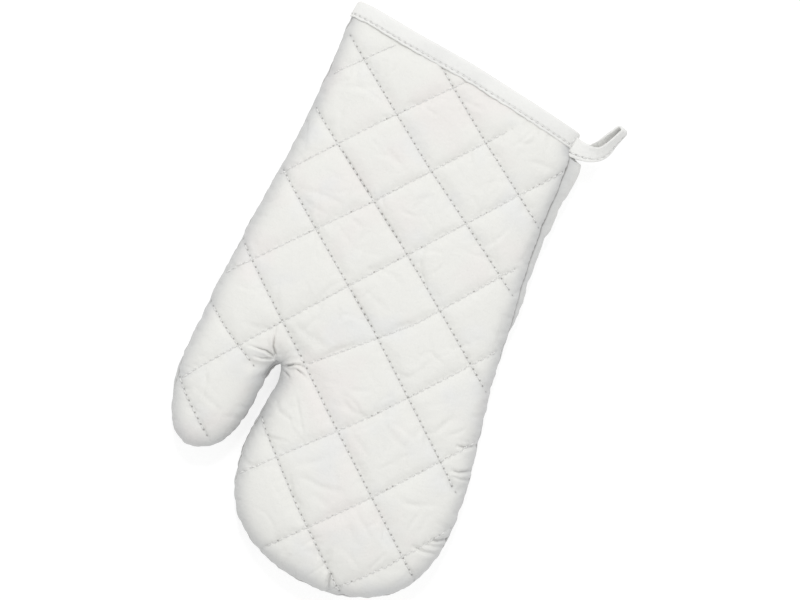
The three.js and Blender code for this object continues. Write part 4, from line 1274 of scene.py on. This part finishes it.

# %% [markdown]
# ## Materials
# Undyed cotton is never one white. It has warm and cool blotches, thick threads and a plain weave
# too fine to see from afar. Painted shade darkens its needle holes, grooves, folds, seam and rim.
# A material is written here as arithmetic on sockets: a small class adds one Math node for each
# sign in an expression.

# %% A small language for materials


class Field:
    """A socket that can stand in sums and products like a number."""

    def __init__(self, recipe, socket):
        self.recipe, self.socket = recipe, socket

    def maths(self, operation, *values):
        return self.recipe.node("ShaderNodeMath", {"operation": operation}, values or [self])

    def from_whole(self):
        """How far a number is from the nearest whole one."""
        return self - self.maths("ROUND")

    def __add__(self, other):
        return self.maths("ADD", self, other)

    def __sub__(self, other):
        return self.maths("SUBTRACT", self, other)

    def __rsub__(self, other):
        return self.maths("SUBTRACT", other, self)

    def __mul__(self, other):
        return self.maths("MULTIPLY", self, other)

    def __truediv__(self, other):
        return self.maths("DIVIDE", self, other)

    def __neg__(self):
        return self * -1.0

    __radd__, __rmul__ = __add__, __mul__


class Recipe:
    """One material, built from nodes around a Principled shader."""

    def __init__(self, name, **constants):
        self.material = bpy.data.materials.new(name)
        self.material.use_nodes = True
        self.nodes = self.material.node_tree.nodes
        self.shader = self.nodes["Principled BSDF"]
        for socket, value in constants.items():
            self.shader.inputs[socket.replace("_", " ")].default_value = value
        self.place = self.node("ShaderNodeTexCoord", {}, {}, "Object")

    def link(self, source, socket):
        self.material.node_tree.links.new(source.socket, socket)

    def node(self, kind, settings, values, output=0):
        node = self.nodes.new(kind)
        for name, value in settings.items():
            setattr(node, name, value)
        for key, value in values.items() if isinstance(values, dict) else enumerate(values):
            if isinstance(value, Field):
                self.link(value, node.inputs[key])
            else:
                node.inputs[key].default_value = value
        return Field(self, node.outputs[output])

    def attribute(self, name):
        vector = self.node("ShaderNodeAttribute", {"attribute_name": name}, {}, "Vector")
        return vector, [self.node("ShaderNodeSeparateXYZ", {}, [vector], k) for k in range(3)]

    def scaled(self, vector, scale):
        return self.node("ShaderNodeVectorMath", {"operation": "MULTIPLY"}, [vector, scale])

    def noise(self, scale, detail=2.0, at=None):
        values = {"Vector": at or self.place, "Scale": scale, "Detail": detail}
        return self.node("ShaderNodeTexNoise", {}, values)

    def step(self, value, low, high):
        settings = {"interpolation_type": "SMOOTHSTEP"}
        return self.node("ShaderNodeMapRange", settings, [value, low, high])

    def mix(self, factor, a, b):
        return self.node("ShaderNodeMix", {"data_type": "RGBA"}, {0: factor, 6: a, 7: b}, 2)

    def bell(self, distance, width):
        ratio = distance / width
        return (-(ratio * ratio)).maths("EXPONENT")

    def bump(self, height, distance, normal=None):
        values = {"Height": height, "Distance": distance, "Strength": 1.0}
        if normal:
            values["Normal"] = normal
        return self.node("ShaderNodeBump", {}, values)

    def finish(self, colour, roughness, normal):
        for name, value in (("Base Color", colour), ("Roughness", roughness), ("Normal", normal)):
            self.link(value, self.shader.inputs[name])
        return self.material


def weave(recipe, across, along, size):
    """Height of a plain weave, 0 to 1: one thread over and one thread under."""
    x, y = across * (math.pi / size), along * (math.pi / size)
    over = x.maths("SINE") * y.maths("SINE")
    return (over.maths("ABSOLUTE") * 0.6 + 0.4) * recipe.step(over, -0.4, 0.4) * 0.5 + 0.5


# %% Quilted cotton
WARM, PINK, COOL = (0.795, 0.793, 0.762, 1), (0.80, 0.77, 0.75, 1), (0.772, 0.776, 0.768, 1)
# Painted shade: the first colour darkens the seam line and the creases, the second the rim all round, where
# the cloth turns down.
SEAM_SHADE, RIM_SHADE = (0.26, 0.25, 0.24, 1), (0.42, 0.43, 0.45, 1)
# Painted shade: the colour of a needle hole and of a sewn groove.
HOLE_SHADE, GROOVE_SHADE = (0.20, 0.19, 0.18, 1), (0.60, 0.60, 0.585, 1)
SLUB, THIN_YARN = (0.84, 0.835, 0.815, 1), (0.70, 0.695, 0.67, 1)

cotton = Recipe("quilted_cotton", Sheen_Weight=0.12, Sheen_Roughness=0.5, Specular_IOR_Level=0.2)
flat, (flat_x, flat_y, _) = cotton.attribute("flat")
warp, weft = (
    cotton.noise(1.0, at=cotton.scaled(flat, stretch)) for stretch in ((1600, 90, 1), (90, 1600, 1))
)
blotch = cotton.noise(24.0)
patch = cotton.noise(38.0, at=cotton.scaled(cotton.place, (1, 1, -1)))
colour = cotton.mix(cotton.step(blotch, 0.5, 0.7) * 0.65, WARM, PINK)
colour = cotton.mix(cotton.step(patch, 0.5, 0.75) * 0.8, colour, COOL)
colour = cotton.mix(cotton.step(warp, 0.5, 0.9) * 0.3, colour, SLUB)
colour = cotton.mix(cotton.step(weft, 0.1, 0.5) * -0.12 + 0.12, colour, THIN_YARN)
holes = None
# Painted shade in the needle holes and along the sewn grooves. Family A gets dark holes and a shaded groove,
# family B mostly pale holes, because the light falls across the two families differently. A noise picks which
# holes are darker.
hole_shade_spread = cotton.step(cotton.noise(150.0), 0.54, 0.64)
for family, row, darkness, groove_shade_amount in (
    ("A", "row_a", hole_shade_spread * 0.1 + 0.88, 0.2),
    ("B", "row_b", hole_shade_spread * 0.75 + 0.08, 0.02),
):
    _, (run, line, sewn) = cotton.attribute(row)
    from_line = line.from_whole() * (FAMILIES[family][0] / MM)
    from_hole = run.from_whole() * (STITCH / MM)
    hole = cotton.bell(from_line, 0.42) * cotton.bell(from_hole, 0.55) * sewn
    colour = cotton.mix(cotton.bell(from_line, 1.3) * sewn * groove_shade_amount, colour, GROOVE_SHADE)
    colour = cotton.mix(hole * darkness, colour, HOLE_SHADE)
    holes = hole if holes is None else holes + hole
_, (fold, _, _) = cotton.attribute("fold")
_, (_, seam_gap, inset) = cotton.attribute("seam")
# Painted shade in the creases and along the dark rows.
colour = cotton.mix(cotton.step(fold, 0.6, 1.4) * 0.8, colour, SEAM_SHADE)
# Painted shade round the rim, darkest at the seam and fading inwards over some millimetres of plan.
colour = cotton.mix(cotton.bell(inset, 6.5 * MM) * 0.5, colour, RIM_SHADE)
colour = cotton.mix(cotton.bell(seam_gap, 0.45 * MM) * 0.6, colour, SEAM_SHADE)
threads = weave(cotton, flat_x, flat_y, 0.42 * MM)
crumple = cotton.noise(320.0, 4.0) * 0.7 + cotton.noise(1100.0) * 0.3
normal = cotton.bump(threads, 0.05 * MM)
normal = cotton.bump(crumple, 0.5 * MM, normal)
normal = cotton.bump(-holes, 0.25 * MM, normal)
cotton_material = cotton.finish(colour, cotton.noise(90.0) * 0.14 + 0.83, normal)
print("cotton:", len(cotton.nodes), "nodes")

# %% Binding tape, thread and floor
TAPE_WHITE, TAPE_GREY, TAPE_WORN = (0.83, 0.83, 0.81, 1), (0.79, 0.79, 0.775, 1), (0.72, 0.72, 0.71, 1)
PLY_SHADE, PLY_WHITE, PLY_WORN = (0.86, 0.86, 0.84, 1), (0.96, 0.96, 0.945, 1), (0.8, 0.79, 0.77, 1)
FLOOR_DARK, FLOOR_LIGHT = (0.44, 0.44, 0.44, 1), (0.46, 0.46, 0.46, 1)


def make_tape(name, length, stitch_rows):
    """Cotton tape: a fine slanting weave, worn edges, and needle holes along its rows of stitches."""
    tape = Recipe(name, Sheen_Weight=0.1, Sheen_Roughness=0.5, Specular_IOR_Level=0.22)
    _, (u, v, _) = tape.attribute("tape")
    colour = tape.mix(tape.step(tape.noise(40.0), 0.45, 0.75), TAPE_WHITE, TAPE_GREY)
    colour = tape.mix(tape.step(tape.noise(700.0), 0.5, 0.9) * 0.25, colour, TAPE_WORN)
    run = u * (round(length / STITCH) / length)
    from_hole = run.from_whole() * (STITCH / MM)
    # Painted shade along each row of stitches and in its needle holes.
    holes = None
    for row in stitch_rows:
        from_line = (v - row) / MM
        colour = tape.mix(tape.bell(from_line, 0.7) * 0.22, colour, GROOVE_SHADE)
        hole = tape.bell(from_line, 0.45) * tape.bell(from_hole, 0.55)
        holes = hole if holes is None else holes + hole
    colour = tape.mix(holes * 0.85, colour, HOLE_SHADE)
    normal = tape.bump(weave(tape, u + v * 0.5, v, 0.36 * MM), 0.06 * MM)
    normal = tape.bump(tape.noise(420.0, 3.0), 0.4 * MM, normal)
    normal = tape.bump(-holes, 0.2 * MM, normal)
    return tape.finish(colour, tape.noise(160.0) * 0.12 + 0.8, normal)


binding_rows = [binding_across[row] for row in (OUTER_STITCHES, INNER_STITCHES)]
loop_rows = [loop_across[row] for row in (LOOP_STITCHES, LOOP_STITCHES_BELOW)]
tape_material = make_tape("binding_tape", around[-1], binding_rows)
loop_material = make_tape("loop_tape", loop_along[-1], loop_rows)

thread = Recipe("stitching", Sheen_Weight=0.08, Specular_IOR_Level=0.35)
_, (ply_u, ply_v, _) = thread.attribute("ply")
twist = (ply_u * 6.0 + ply_v) * (4 * math.pi)
ply = twist.maths("SINE")
colour = thread.mix(thread.step(ply, -1.0, 0.2), PLY_SHADE, PLY_WHITE)
colour = thread.mix(thread.step(thread.noise(120.0), 0.4, 0.8) * 0.3, colour, PLY_WORN)
thread_material = thread.finish(colour, ply * 0.05 + 0.62, thread.bump(ply, 0.05 * MM))

glow = {"Emission_Color": (1, 1, 1, 1), "Emission_Strength": 0.62}
ground = Recipe("pale_floor", Specular_IOR_Level=0.1, **glow)
colour = ground.mix(ground.noise(6.0), FLOOR_DARK, FLOOR_LIGHT)
normal = ground.bump(ground.noise(300.0), 0.05 * MM)
floor.data.materials.append(ground.finish(colour, ground.noise(40.0) * 0.1 + 0.85, normal))

# %% Hiding the CAD parts, and attaching the pieces with their materials and smooth shading
for piece, node, slot, material in (
    (back, "back_panel", "quilted_cotton", cotton_material),
    (palm, "palm_panel", "quilted_cotton", cotton_material),
    (binding, "cuff_binding", "binding_tape", tape_material),
    (loop, "hanging_loop", "binding_tape", loop_material),
    (thread_back, None, "stitching", thread_material),
    (thread_palm, None, "stitching", thread_material),
    (thread_cuff, None, "stitching", thread_material),
    (thread_loop, None, "stitching", thread_material),
):
    if node:
        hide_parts(node)
    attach(piece, "root")
    piece.data.materials.append(material)
    for polygon in piece.data.polygons:
        polygon.use_smooth = True
